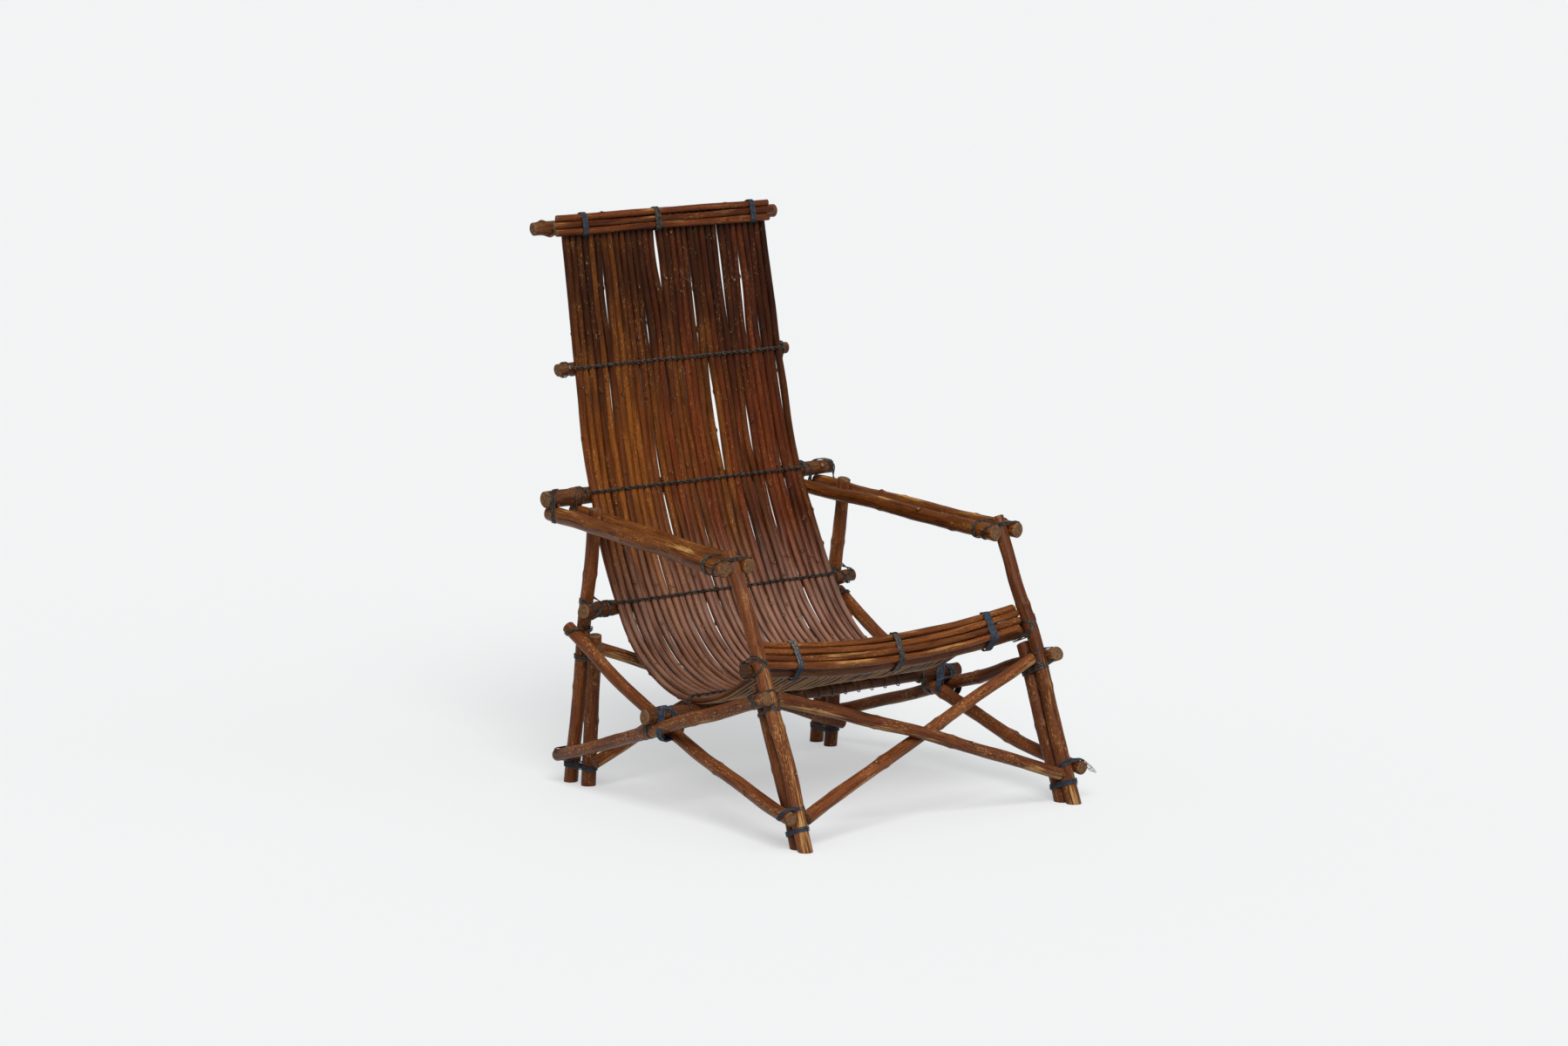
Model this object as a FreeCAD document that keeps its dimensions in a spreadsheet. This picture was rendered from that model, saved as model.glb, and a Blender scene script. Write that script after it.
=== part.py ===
# Low lounge chair of lashed willow poles with a seat and back of thin bent rods.
# Millimetres, +Z up, the sitter faces -Y, and the origin is on the floor under the middle of the chair.
import FreeCAD, Part
import math
import os

V = FreeCAD.Vector
doc = FreeCAD.newDocument("lounge_chair")

# Driving dimensions
SIZES = [
    ("fit", "0.3"),
    ("post_diameter", "24"),
    ("leg_diameter", "25"),
    ("arm_diameter", "27"),
    ("side_brace_diameter", "23"),
    ("cross_brace_diameter", "22"),
    ("top_bar_diameter", "24"),
    ("upper_bar_diameter", "22"),
    ("arm_bar_diameter", "28"),
    ("lumbar_bar_diameter", "24"),
    ("seat_bar_diameter", "24"),
    ("front_rail_diameter", "28"),
    ("rod_diameter", "10.4"),
    ("rod_count", "33"),
    ("rods_per_group", "3"),
    ("rod_gap", "4.8"),
    ("mat_taper_angle", "1.9"),
    ("edge_rod_diameter", "12.5"),
    ("wire_diameter", "2"),
    ("wire_room", "0.5"),
    ("wire_pitch", "2.6"),
    ("seat_low_height", "194"),
    ("seat_curve_radius", "235"),
    ("lumbar_angle", "58"),
    ("lumbar_curve_radius", "1000"),
    ("back_angle", "78"),
    ("top_bar_contact_height", "986"),
    ("rod_end_above_bar", "12"),
    ("back_top_height", "=top_bar_contact_height + rod_end_above_bar"),
    ("upper_bar_contact_height", "737"),
    ("arm_bar_contact_height", "519"),
    ("lumbar_bar_contact_height", "331"),
    ("seat_bar_set_forward", "12"),
    ("rail_set_forward", "247"),
    ("rail_height", "288"),
    ("rail_sag", "22"),
    ("rod_front_overhang", "16"),
    ("arm_side_gap", "5"),
    ("front_splay", "19"),
    ("arm_front_height", "460"),
    ("arm_front_overhang", "14"),
    ("arm_rear_overhang", "10"),
    ("post_top_above_arm", "9"),
    ("front_lean", "23.6"),
    ("front_bow", "10"),
    ("rear_lean", "9"),
    ("leg_inset", "5"),
    ("rear_leg_spread", "47"),
    ("rear_leg_below_lumbar", "56"),
    ("rear_leg_height", "=lumbar_bar_contact_height - rear_leg_below_lumbar"),
    ("leg_below_rail", "9"),
    ("falling_front_height", "58"),
    ("falling_rear_height", "288"),
    ("rising_front_height", "254"),
    ("rising_rear_height", "50"),
    ("side_brace_overhang", "14"),
    ("rising_front_overhang", "26"),
    ("falling_brace_room", "1.6"),
    ("front_cross_low", "52"),
    ("front_cross_high", "246"),
    ("rear_cross_low", "46"),
    ("rear_cross_high", "256"),
    ("rear_cross_overhang", "2"),
    ("top_bar_overhang", "50"),
    ("upper_bar_overhang", "29"),
    ("arm_bar_overhang", "6"),
    ("lumbar_bar_overhang", "24"),
    ("seat_bar_overhang", "28"),
    ("front_rail_overhang", "20"),
    ("top_edge_rod_overhang", "20"),
    ("edge_rod_end_gap", "3"),
    ("foot_lashing_height", "28"),
    ("front_joint_lashing_height", "218"),
    ("rear_joint_lashing_height", "234"),
    ("lashing_turns", "3"),
    ("edge_lashing_turns", "3"),
    ("lacing_corner", "4"),
    ("lashing_corner", "8"),
]

sheet = doc.addObject("Spreadsheet::Sheet", "Sizes")
for row, (alias, text) in enumerate(SIZES, start=1):
    sheet.set("A%d" % row, alias)
    sheet.set("B%d" % row, text)
    sheet.setAlias("B%d" % row, alias)
doc.recompute()


def size(alias):
    return float(sheet.get(alias))


def radius(alias):
    return size(alias) / 2


def degrees(alias):
    return math.radians(size(alias))


fit = size("fit")
post_r = radius("post_diameter")
leg_r = radius("leg_diameter")
arm_r = radius("arm_diameter")
brace_r = radius("side_brace_diameter")
cross_r = radius("cross_brace_diameter")
rod_r = radius("rod_diameter")
edge_r = radius("edge_rod_diameter")
rail_r = radius("front_rail_diameter")
wire_r = radius("wire_diameter")
wire_clear = wire_r + size("wire_room")

pieces = []
spines = {}


def keep(piece):
    piece.Label = piece.Name
    pieces.append(piece)
    return piece


def circle_in_yz(start, middle_bow, end):
    """Centre and radius of the arc from start to end in the YZ plane, bowed towards the front."""
    chord = end - start
    half = chord.Length / 2
    bend = (half ** 2 + middle_bow ** 2) / (2 * middle_bow)
    rearward = V(0, chord.z, -chord.y).normalize()
    centre = (start + end) / 2 + rearward * (bend - middle_bow)
    return centre, bend


def frame_of(direction):
    return FreeCAD.Rotation(V(0, 0, 1), direction)


def straight_pole(name, start, end, diameter):
    pole = doc.addObject("Part::Cylinder", name)
    pole.setExpression("Radius", "Sizes.%s / 2" % diameter)
    pole.Height = (end - start).Length
    pole.Placement = FreeCAD.Placement(start, frame_of(end - start))
    return pole


def swept_pole(name, edges, diameter):
    """A round pole or wire along joined lines and arcs."""
    spine = doc.addObject("Part::Feature", name + "_line")
    spine.Shape = Part.Wire(edges)
    first = edges[0]
    section = doc.addObject("Part::Circle", name + "_section")
    section.setExpression("Radius", "Sizes.%s / 2" % diameter)
    start = first.valueAt(first.FirstParameter)
    section.Placement = FreeCAD.Placement(start, frame_of(first.tangentAt(first.FirstParameter)))
    pole = doc.addObject("Part::Sweep", name)
    pole.Sections = [section]
    pole.Spine = (spine, ["Edge%d" % (number + 1) for number in range(len(edges))])
    pole.Solid = True
    pole.Frenet = False
    pole.Transition = "Transformed"
    spines[name] = spine.Shape
    return pole


def arc(start, middle, end):
    return Part.Arc(start, middle, end).toShape()


def line(start, end):
    return Part.LineSegment(start, end).toShape()


def stand_on_floor(name, pole):
    """Saw the foot of a leaning pole level with the floor."""
    saw = doc.addObject("Part::Box", name + "_saw")
    reach = size("rail_set_forward") * 4
    saw.Length = reach
    saw.Width = reach
    saw.setExpression("Height", "Sizes.post_diameter * 2")
    saw.Placement.Base = V(-reach / 2, -reach / 2, -size("post_diameter") * 2)
    leg = doc.addObject("Part::Cut", name)
    leg.Base = pole
    leg.Tool = saw
    return keep(leg)


# Line of the mat: front slope, seat arc, lumbar arc and straight back, in the YZ plane

lumbar_angle = degrees("lumbar_angle")
back_angle = degrees("back_angle")
seat_radius = size("seat_curve_radius")
lumbar_radius = size("lumbar_curve_radius")


def on_circle(centre, bend, angle):
    return centre + V(0, math.sin(angle), -math.cos(angle)) * bend


def mat_line(seat_low_y):
    seat_centre = V(0, seat_low_y, size("seat_low_height") + seat_radius)
    lumbar_start = on_circle(seat_centre, seat_radius, lumbar_angle)
    lumbar_centre = lumbar_start - V(0, math.sin(lumbar_angle), -math.cos(lumbar_angle)) * lumbar_radius
    back_start = on_circle(lumbar_centre, lumbar_radius, back_angle)
    return seat_centre, lumbar_start, lumbar_centre, back_start


def mat_contact(line_points, height):
    """Point of the mat's middle line at a height, and its slope angle there."""
    seat_centre, lumbar_start, lumbar_centre, back_start = line_points
    if height >= back_start.z:
        rise = height - back_start.z
        return back_start + V(0, rise / math.tan(back_angle), rise), back_angle
    if height >= lumbar_start.z:
        angle = math.acos((lumbar_centre.z - height) / lumbar_radius)
        return on_circle(lumbar_centre, lumbar_radius, angle), angle
    angle = math.acos((seat_centre.z - height) / seat_radius)
    return on_circle(seat_centre, seat_radius, angle), angle


def behind(angle):
    return V(0, math.sin(angle), -math.cos(angle))


def bar_centre(contact, angle, diameter):
    return contact + behind(angle) * (radius(diameter) + rod_r + fit)


def front_post_circle(rail_y, top_height):
    """Arc of the front post, which touches the front of the rail."""
    lean = degrees("front_lean")
    foot = V(0, 0, 0)
    top = V(0, top_height * math.tan(lean), top_height)
    centre, bend = circle_in_yz(foot, size("front_bow"), top)
    inner = bend - post_r - rail_r - fit
    foot_y = rail_y - centre.y + math.sqrt(inner ** 2 - (centre.z - size("rail_height")) ** 2)
    return centre + V(0, foot_y, 0), bend


def front_y(circle, height, inset=0):
    centre, bend = circle
    return centre.y - math.sqrt((bend - inset) ** 2 - (height - centre.z) ** 2)


front_top = size("arm_front_height") + arm_r + size("post_top_above_arm")
edge_pitch = size("edge_rod_diameter") + fit
top_lashing_half = edge_pitch + edge_r + wire_clear
top_lashing_back = rod_r + fit + size("top_bar_diameter") + wire_clear


def chair_ends(seat_low_y):
    """Y of the front feet and of the back of the top bar."""
    line_points = mat_line(seat_low_y)
    contact, angle = mat_contact(line_points, size("top_bar_contact_height"))
    corner = size("lashing_corner")
    up = V(0, math.cos(angle), math.sin(angle))
    bend = contact + behind(angle) * (top_lashing_back - corner) + up * (top_lashing_half - corner)
    rear = bend.y + corner + wire_r
    circle = front_post_circle(seat_low_y - size("rail_set_forward"), front_top)
    centre, bend = circle
    front = front_y((centre, bend + post_r), 0)
    return front, rear


front_end, rear_end = chair_ends(0)
seat_low_y = -(front_end + rear_end) / 2
line_points = mat_line(seat_low_y)
seat_centre, lumbar_start, lumbar_centre, back_start = line_points
rail_y = seat_low_y - size("rail_set_forward")
front_circle = front_post_circle(rail_y, front_top)

top_contact, top_angle = mat_contact(line_points, size("top_bar_contact_height"))
upper_contact, upper_angle = mat_contact(line_points, size("upper_bar_contact_height"))
arm_contact, arm_angle = mat_contact(line_points, size("arm_bar_contact_height"))
lumbar_contact, lumbar_slope = mat_contact(line_points, size("lumbar_bar_contact_height"))
seat_angle = -math.asin(size("seat_bar_set_forward") / seat_radius)
seat_contact = on_circle(seat_centre, seat_radius, seat_angle)

top_bar = bar_centre(top_contact, top_angle, "top_bar_diameter")
upper_bar = bar_centre(upper_contact, upper_angle, "upper_bar_diameter")
arm_bar = bar_centre(arm_contact, arm_angle, "arm_bar_diameter")
lumbar_bar = bar_centre(lumbar_contact, lumbar_slope, "lumbar_bar_diameter")
seat_bar = bar_centre(seat_contact, seat_angle, "seat_bar_diameter")

# Widths: the frame follows the mat, and the mat narrows towards the top

rod_count = int(size("rod_count"))
rod_pitch = size("rod_diameter") + size("rod_gap")
mat_half = (rod_count - 1) * rod_pitch / 2
seat_low_z = size("seat_low_height")


def taper(x):
    """Tilt of the rod that crosses the seat at x."""
    return degrees("mat_taper_angle") * x / mat_half


def rod_x(x, height):
    return x - math.tan(taper(x)) * (height - seat_low_z)


rear_x = rod_x(mat_half, arm_bar.z - arm_r) + rod_r + size("arm_side_gap") + 2 * arm_r + post_r + fit
front_x = rear_x + size("front_splay")

# Posts and short legs

rear_lean = degrees("rear_lean")
rear_up = V(0, -math.sin(rear_lean), math.cos(rear_lean))
rear_gap = post_r + radius("lumbar_bar_diameter") + fit
rear_axis = lumbar_bar + V(0, math.cos(rear_lean), math.sin(rear_lean)) * rear_gap


def rear_post(height):
    return rear_axis + rear_up * ((height - rear_axis.z) / rear_up.z)


arm_rear_z = arm_bar.z - radius("arm_bar_diameter") - arm_r - fit
arm_front_y = front_y(front_circle, size("arm_front_height"))
arm_slope = (arm_rear_z - size("arm_front_height")) / (arm_bar.y - arm_front_y)


def arm_z(y):
    return arm_rear_z + arm_slope * (y - arm_bar.y)


rear_leg_low = rear_post(0) - V(0, size("rear_leg_spread"), 0)
rear_leg_high = rear_post(size("rear_leg_height"))
rear_leg_high = rear_leg_high - V(0, (post_r + leg_r + 2 * fit) / math.cos(rear_lean), 0)


def rear_leg(height):
    share = height / size("rear_leg_height")
    return rear_leg_low + (rear_leg_high - rear_leg_low) * share


def on_front_arc(height, inset, x):
    return V(x, front_y(front_circle, height, inset), height)


below_floor = -size("post_diameter")
pair_gap = post_r + leg_r + fit
leg_top = size("rail_height") - (rail_r + fit + size("leg_below_rail")) * math.cos(degrees("front_lean"))
rear_top = arm_z(rear_post(arm_rear_z).y) + arm_r + size("post_top_above_arm")

for side, sign in (("left", -1), ("right", 1)):
    heights = (below_floor, front_top / 2, front_top)
    points = [on_front_arc(height, 0, sign * front_x) for height in heights]
    pole = swept_pole("front_post_%s_pole" % side, [arc(*points)], "post_diameter")
    stand_on_floor("front_post_%s" % side, pole)

    leg_x = sign * (front_x - size("leg_inset"))
    heights = (below_floor, leg_top / 2, leg_top)
    points = [on_front_arc(height, pair_gap, leg_x) for height in heights]
    pole = swept_pole("front_short_leg_%s_pole" % side, [arc(*points)], "leg_diameter")
    stand_on_floor("front_short_leg_%s" % side, pole)

    across = V(sign * rear_x, 0, 0)
    name = "rear_post_%s" % side
    pole = straight_pole(name + "_pole", rear_post(below_floor) + across, rear_post(rear_top) + across,
                         "post_diameter")
    stand_on_floor(name, pole)

    leg_across = V(sign * (rear_x - size("leg_inset")), 0, 0)
    name = "rear_short_leg_%s" % side
    pole = straight_pole(name + "_pole", rear_leg(below_floor) + leg_across, rear_leg_high + leg_across,
                         "leg_diameter")
    stand_on_floor(name, pole)

# Arms: an outer and an inner pole on each side, with both posts between them

arm_offset = post_r + arm_r + fit
arm_front_end = arm_front_y - size("arm_front_overhang")
arm_rear_end = arm_bar.y + size("arm_rear_overhang")
rear_post_y = rear_post(arm_rear_z).y


def arm_x(y, offset):
    """Distance of an arm pole from the middle of the chair."""
    share = (rear_post_y - y) / (rear_post_y - arm_front_y)
    return rear_x + size("front_splay") * share + offset


for side, sign in (("left", -1), ("right", 1)):
    for which, offset in (("outer", arm_offset), ("inner", -arm_offset)):
        ends = [V(sign * arm_x(y, offset), y, arm_z(y)) for y in (arm_front_end, arm_rear_end)]
        keep(straight_pole("%s_arm_%s" % (which, side), ends[0], ends[1], "arm_diameter"))

# Cross bars

arm_bar_half = arm_x(arm_bar.y, arm_offset) + arm_r + size("arm_bar_overhang")
side_x = (front_x + rear_x) / 2 + post_r + brace_r + fit
BARS = (
    ("top_bar", top_bar, rod_x(mat_half, top_contact.z) + rod_r + size("top_bar_overhang")),
    ("upper_back_bar", upper_bar, rod_x(mat_half, upper_contact.z) + rod_r + size("upper_bar_overhang")),
    ("arm_bar", arm_bar, arm_bar_half),
    ("lumbar_bar", lumbar_bar, rear_x + size("lumbar_bar_overhang")),
    ("seat_bar", seat_bar, side_x + brace_r + size("seat_bar_overhang")),
)
BAR_DIAMETER = {
    "top_bar": "top_bar_diameter",
    "upper_back_bar": "upper_bar_diameter",
    "arm_bar": "arm_bar_diameter",
    "lumbar_bar": "lumbar_bar_diameter",
    "seat_bar": "seat_bar_diameter",
}
for name, centre, half in BARS:
    keep(straight_pole(name, centre - V(half, 0, 0), centre + V(half, 0, 0), BAR_DIAMETER[name]))

rail_bend = (front_x ** 2 + size("rail_sag") ** 2) / (2 * size("rail_sag"))


def rail_z(x):
    return size("rail_height") - size("rail_sag") + rail_bend - math.sqrt(rail_bend ** 2 - x ** 2)


rail_half = front_x + size("front_rail_overhang")
points = [V(x, rail_y, rail_z(x)) for x in (-rail_half, 0, rail_half)]
keep(swept_pole("front_rail", [arc(*points)], "front_rail_diameter"))

# Rods of the seat and back, each in one piece from the top bar to the front rail

rail_clear = rail_r + rod_r + 2 * fit


def front_angle(x):
    """Slope of a rod from the seat arc up over the front rail."""
    to_rail = V(0, rail_y, rail_z(rod_x(x, size("rail_height")))) - seat_centre
    reach = math.hypot(to_rail.y, to_rail.z)
    turn = math.acos((seat_radius + rail_clear) / reach)
    return math.atan2(-to_rail.y, -to_rail.z) - turn


def rod_edges(x):
    slope = front_angle(x)
    seat_front = on_circle(seat_centre, seat_radius, -slope)
    forward = V(0, -math.cos(slope), math.sin(slope))
    run = (V(0, rail_y, rail_z(x)) - seat_front).dot(forward) + size("rod_front_overhang")
    rise = size("back_top_height") - back_start.z
    top = back_start + V(0, rise / math.tan(back_angle), rise)
    seat_low = on_circle(seat_centre, seat_radius, (lumbar_angle - slope) / 2)
    lumbar_middle = on_circle(lumbar_centre, lumbar_radius, (lumbar_angle + back_angle) / 2)
    edges = [
        line(top, back_start),
        arc(back_start, lumbar_middle, lumbar_start),
        arc(lumbar_start, seat_low, seat_front),
        line(seat_front, seat_front + forward * run),
    ]
    tilt = FreeCAD.Placement(V(x, 0, 0), FreeCAD.Rotation(V(0, 1, 0), -math.degrees(taper(x))),
                             V(0, 0, seat_low_z))
    for edge in edges:
        edge.Placement = tilt
    return edges


group_size = int(size("rods_per_group"))
rods = []
for number in range(rod_count):
    x = number * rod_pitch - mat_half
    rods.append(swept_pole("rod_%02d" % (number + 1), rod_edges(x), "rod_diameter"))
for number in range(0, rod_count, group_size):
    group = doc.addObject("Part::Compound", "mat_rods_%02d" % (number // group_size + 1))
    group.Links = rods[number:number + group_size]
    keep(group)

# Edge rods: three across the top ends of the mat, five across its front ends

back_up = V(0, math.cos(back_angle), math.sin(back_angle))
back_front = -behind(back_angle)
top_edge_half = rod_x(mat_half, top_contact.z) + rod_r + size("top_edge_rod_overhang")
for number, step in enumerate((1, 0, -1), start=1):
    centre = top_contact + back_front * (rod_r + edge_r + fit) + back_up * (step * edge_pitch)
    ends = [centre + V(sign * top_edge_half, 0, 0) for sign in (-1, 1)]
    keep(straight_pole("top_edge_rod_%d" % number, ends[0], ends[1], "edge_rod_diameter"))


def edge_section(x):
    """Middle of the rail at x, and the two directions of the rods above it."""
    slope = front_angle(x)
    forward = V(0, -math.cos(slope), math.sin(slope))
    upward = V(0, math.sin(slope), math.cos(slope))
    return V(x, rail_y, rail_z(x)), forward, upward


def resting_on(first, second):
    """Place of an edge rod that lies in the hollow between two others."""
    reach, lift = (second[0] - first[0]) / 2, (second[1] - first[1]) / 2
    half = math.hypot(reach, lift)
    rise = math.sqrt(edge_pitch ** 2 - half ** 2) / half
    return first[0] + reach - lift * rise, first[1] + lift + reach * rise


rod_end_reach = size("rod_front_overhang") + edge_r + 3 * fit
EDGE_PLACES = [
    (size("rod_front_overhang") - edge_r, rail_clear + rod_r + edge_r + fit),
    (rod_end_reach, rail_clear + edge_pitch / 2),
    (rod_end_reach, rail_clear - edge_pitch / 2),
    (rod_end_reach, rail_clear - edge_pitch * 3 / 2),
]
EDGE_PLACES.append(resting_on(EDGE_PLACES[0], EDGE_PLACES[1]))
front_edge_half = front_x - post_r - size("edge_rod_end_gap")
for number, (reach, lift) in enumerate(EDGE_PLACES, start=1):
    points = []
    for x in (-front_edge_half, 0, front_edge_half):
        rail, forward, upward = edge_section(x)
        points.append(rail + forward * reach + upward * lift)
    keep(swept_pole("front_edge_rod_%d" % number, [arc(*points)], "edge_rod_diameter"))

# Braces: a crossing pair in each side, in the front and in the rear


def nearest_in_yz(edge, target):
    points = edge.discretize(Number=400)
    return min(math.hypot(point.y - target.y, point.z - target.z) for point in points)


def brace_under_bar(start, end, middle_x):
    """Arc from start to end that touches the underside of the seat bar."""
    reach = radius("seat_bar_diameter") + brace_r + fit
    middle = V(middle_x, seat_bar.y, seat_bar.z - reach)
    for _ in range(8):
        edge = arc(start, middle, end)
        middle = middle - V(0, 0, reach - nearest_in_yz(edge, seat_bar))
    return arc(start, middle, end)


side_gap = post_r + brace_r + fit
half_gap = brace_r + fit / 2
crossing_share = (seat_bar.y - front_y(front_circle, 0)) / (rear_post(0).y - front_y(front_circle, 0))
crossing_x = front_x - size("front_splay") * crossing_share + side_gap
overhang = size("side_brace_overhang")

for side, sign in (("left", -1), ("right", 1)):
    low = size("falling_front_height")
    high = size("falling_rear_height")
    room = side_gap + size("falling_brace_room")
    start = V(sign * (front_x + room), front_y(front_circle, low) - overhang, low)
    end = V(sign * (rear_x + room), rear_post(high).y + overhang, high)
    edge = brace_under_bar(start, end, sign * (crossing_x - half_gap))
    keep(swept_pole("falling_side_brace_%s" % side, [edge], "side_brace_diameter"))

    low = size("rising_rear_height")
    high = size("rising_front_height")
    start = V(sign * (front_x + side_gap), front_y(front_circle, high) - size("rising_front_overhang"), high)
    end = V(sign * (rear_x + side_gap), rear_post(low).y + overhang, low)
    edge = brace_under_bar(start, end, sign * (crossing_x + half_gap))
    keep(swept_pole("rising_side_brace_%s" % side, [edge], "side_brace_diameter"))

low = size("front_cross_low")
high = size("front_cross_high")
cross_gap = cross_r + fit / 2
setback = front_y(front_circle, high) - front_y(front_circle, low)
end_tilt = math.atan2(math.hypot(high - low, setback + 4 * cross_gap), 2 * front_x)
cross_end = front_x - post_r - fit - cross_r * math.sin(end_tilt)
low_point = V(cross_end, front_y(front_circle, low), low)
high_point = V(cross_end, front_y(front_circle, high), high)


def mirrored(point):
    return V(-point.x, point.y, point.z)


def cross_middle(low_point, high_point, shift):
    """Middle of a brace, moved along the shortest line between the two braces."""
    middle = (low_point + high_point) / 2
    rise = high_point - low_point
    return V(0, middle.y, middle.z) + V(0, rise.z, -rise.y).normalize() * shift


edge = arc(mirrored(high_point), cross_middle(low_point, high_point, -cross_gap), low_point)
keep(swept_pole("front_cross_brace_outer", [edge], "cross_brace_diameter"))
edge = arc(mirrored(low_point), cross_middle(low_point, high_point, cross_gap), high_point)
keep(swept_pole("front_cross_brace_inner", [edge], "cross_brace_diameter"))

def beside_rear_leg(height, room):
    point = rear_leg(height)
    return V(rear_x + size("rear_cross_overhang"), point.y - leg_r - cross_r - room, height)


low_point = beside_rear_leg(size("rear_cross_low"), 2 * fit)
high_point = beside_rear_leg(size("rear_cross_high"), 2 * fit)
edge = arc(mirrored(high_point), cross_middle(low_point, high_point, -cross_gap), low_point)
keep(swept_pole("rear_cross_brace_outer", [edge], "cross_brace_diameter"))
middle = cross_middle(low_point, high_point, cross_gap)
bowed_room = V(0, 2 * fit, 0)
edge = arc(mirrored(low_point - bowed_room), middle, high_point - bowed_room)
keep(swept_pole("rear_cross_brace_inner", [edge], "cross_brace_diameter"))

# Wire: every winding is a rounded box of quarter turns that climbs on two of its sides


def quarter_turn(start, way_in, way_out, bend):
    corner = start + way_in * bend
    end = corner + way_out * bend
    middle = corner + (way_out - way_in) * bend + (way_in - way_out) * (bend * math.sqrt(0.5))
    return arc(start, middle, end), end


def winding(centre, across, along, axis, half_across, half_along, half_turns, pitch, bends):
    """Edges of a winding, from the middle of one straight side to the middle of the last one."""
    edges = []
    climb = axis * (pitch / 2)
    point = centre + across * half_across - climb * (half_turns / 2)
    way = along
    for half_turn in range(half_turns):
        bend = bends[half_turn % 2]
        step = across * (-2 * half_across if half_turn % 2 == 0 else 2 * half_across) + climb
        crossing = V(step).normalize()
        start = point + way * (half_along - bend)
        edges.append(line(point, start))
        turn, start = quarter_turn(start, way, crossing, bend)
        edges.append(turn)
        if step.Length > 2 * bend + fit:
            end = start + crossing * (step.Length - 2 * bend)
            edges.append(line(start, end))
            start = end
        turn, start = quarter_turn(start, crossing, way * -1, bend)
        edges.append(turn)
        way = way * -1
        end = start + way * (half_along - bend)
        edges.append(line(start, end))
        point = end
    return edges


def own_gap(edges):
    """Least gap of a winding to itself, measured on points along it."""
    wire = Part.Wire(edges)
    count = int(wire.Length / size("wire_diameter"))
    points = wire.discretize(Number=count)
    apart = 4
    least = wire.Length
    for first in range(count):
        for second in range(first + apart, count):
            least = min(least, points[first].distanceToPoint(points[second]))
    return least - size("wire_diameter")


def wind(name, edges):
    print("%s: least gap to itself %.2f mm" % (name, own_gap(edges)))
    return swept_pole(name, edges, "wire_diameter")


def wire_group(name, windings):
    group = doc.addObject("Part::Compound", name)
    group.Links = [wind("%s_%d" % (name, number), edges) for number, edges in enumerate(windings, start=1)]
    keep(group)


half_turns = 2 * int(size("lashing_turns"))
wire_pitch = size("wire_pitch")
lashing_half = half_turns * wire_pitch / 4
lashing_corner = size("lashing_corner")
X = V(1, 0, 0)


def pair_lashing(first, second, axis, first_r, second_r):
    """Winding round two poles that lie side by side."""
    between = second - first
    between = between - axis * between.dot(axis)
    apart = V(between).normalize()
    half_across = (between.Length + first_r + second_r) / 2 + wire_clear
    centre = first + apart * (half_across - first_r - wire_clear)
    half_along = max(first_r, second_r) + wire_clear
    bend = half_along - 2 * fit
    return winding(centre, apart, axis.cross(apart), axis, half_across, half_along, half_turns, wire_pitch,
                   (bend, bend))


def cross_lashing(first, second, first_way, second_way, first_r, second_r):
    """Winding on the diagonal round two poles that cross."""
    through = (second - first).normalize()
    diagonal = V(first_way + second_way).normalize()
    axis = diagonal.cross(through)
    half_angle = first_way.getAngle(second_way) / 2
    half_across = (max(first_r, second_r) + wire_clear) / math.sin(half_angle)
    half_across = half_across + lashing_half / math.tan(half_angle)
    half_along = ((second - first).Length + first_r + second_r) / 2 + wire_clear
    centre = first + through * (half_along - first_r - wire_clear)
    return winding(centre, diagonal, through, axis, half_across, half_along, half_turns, wire_pitch,
                   (lashing_corner, lashing_corner))


def tangent_at(height):
    centre, bend = front_circle
    outward = on_front_arc(height, 0, 0) - V(0, centre.y, centre.z)
    return V(0, outward.z, -outward.y).normalize()


def front_pair(height, sign):
    axis = tangent_at(height)
    first = on_front_arc(height, 0, sign * front_x)
    centre, bend = front_circle
    inward = (V(sign * front_x, centre.y, centre.z) - first).normalize()
    second = first + inward * pair_gap - X * (sign * size("leg_inset"))
    return pair_lashing(first, second, axis, post_r, leg_r)


def rear_pair(height, sign):
    first = rear_post(height) + X * (sign * rear_x)
    second = rear_leg(height) + X * (sign * (rear_x - size("leg_inset")))
    around_post = post_r / math.cos(rear_lean) + lashing_half * math.tan(rear_lean)
    return pair_lashing(first, second, V(0, 0, 1), around_post, leg_r + fit)


def lumbar_cross(sign):
    first = lumbar_bar + X * (sign * rear_x)
    second = rear_axis + X * (sign * rear_x)
    return cross_lashing(first, second, X * sign, rear_up, radius("lumbar_bar_diameter"), post_r)


def rail_cross(sign):
    rail = V(sign * front_x, rail_y, size("rail_height"))
    centre, bend = front_circle
    outward = V(0, rail.y - centre.y, rail.z - centre.z).normalize()
    post = rail + outward * (post_r + rail_r + fit)
    post_way = V(0, outward.z, -outward.y)
    rail_way = V(sign * rail_bend, 0, front_x).normalize()
    return cross_lashing(post, rail, post_way, rail_way, post_r, rail_r)


def arm_front(sign):
    over_arm = size("arm_front_height") + arm_r + 2 * wire_clear
    post_back = front_y(front_circle, over_arm) + post_r / math.cos(degrees("front_lean"))
    y = post_back + lashing_half + 2 * wire_clear
    ends = [V(sign * arm_x(y, offset), y, arm_z(y)) for offset in (-arm_offset, arm_offset)]
    axis = V(0, math.cos(math.atan(arm_slope)), math.sin(math.atan(arm_slope)))
    return pair_lashing(ends[0], ends[1], axis, arm_r + fit / 2, arm_r + fit / 2)


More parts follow.
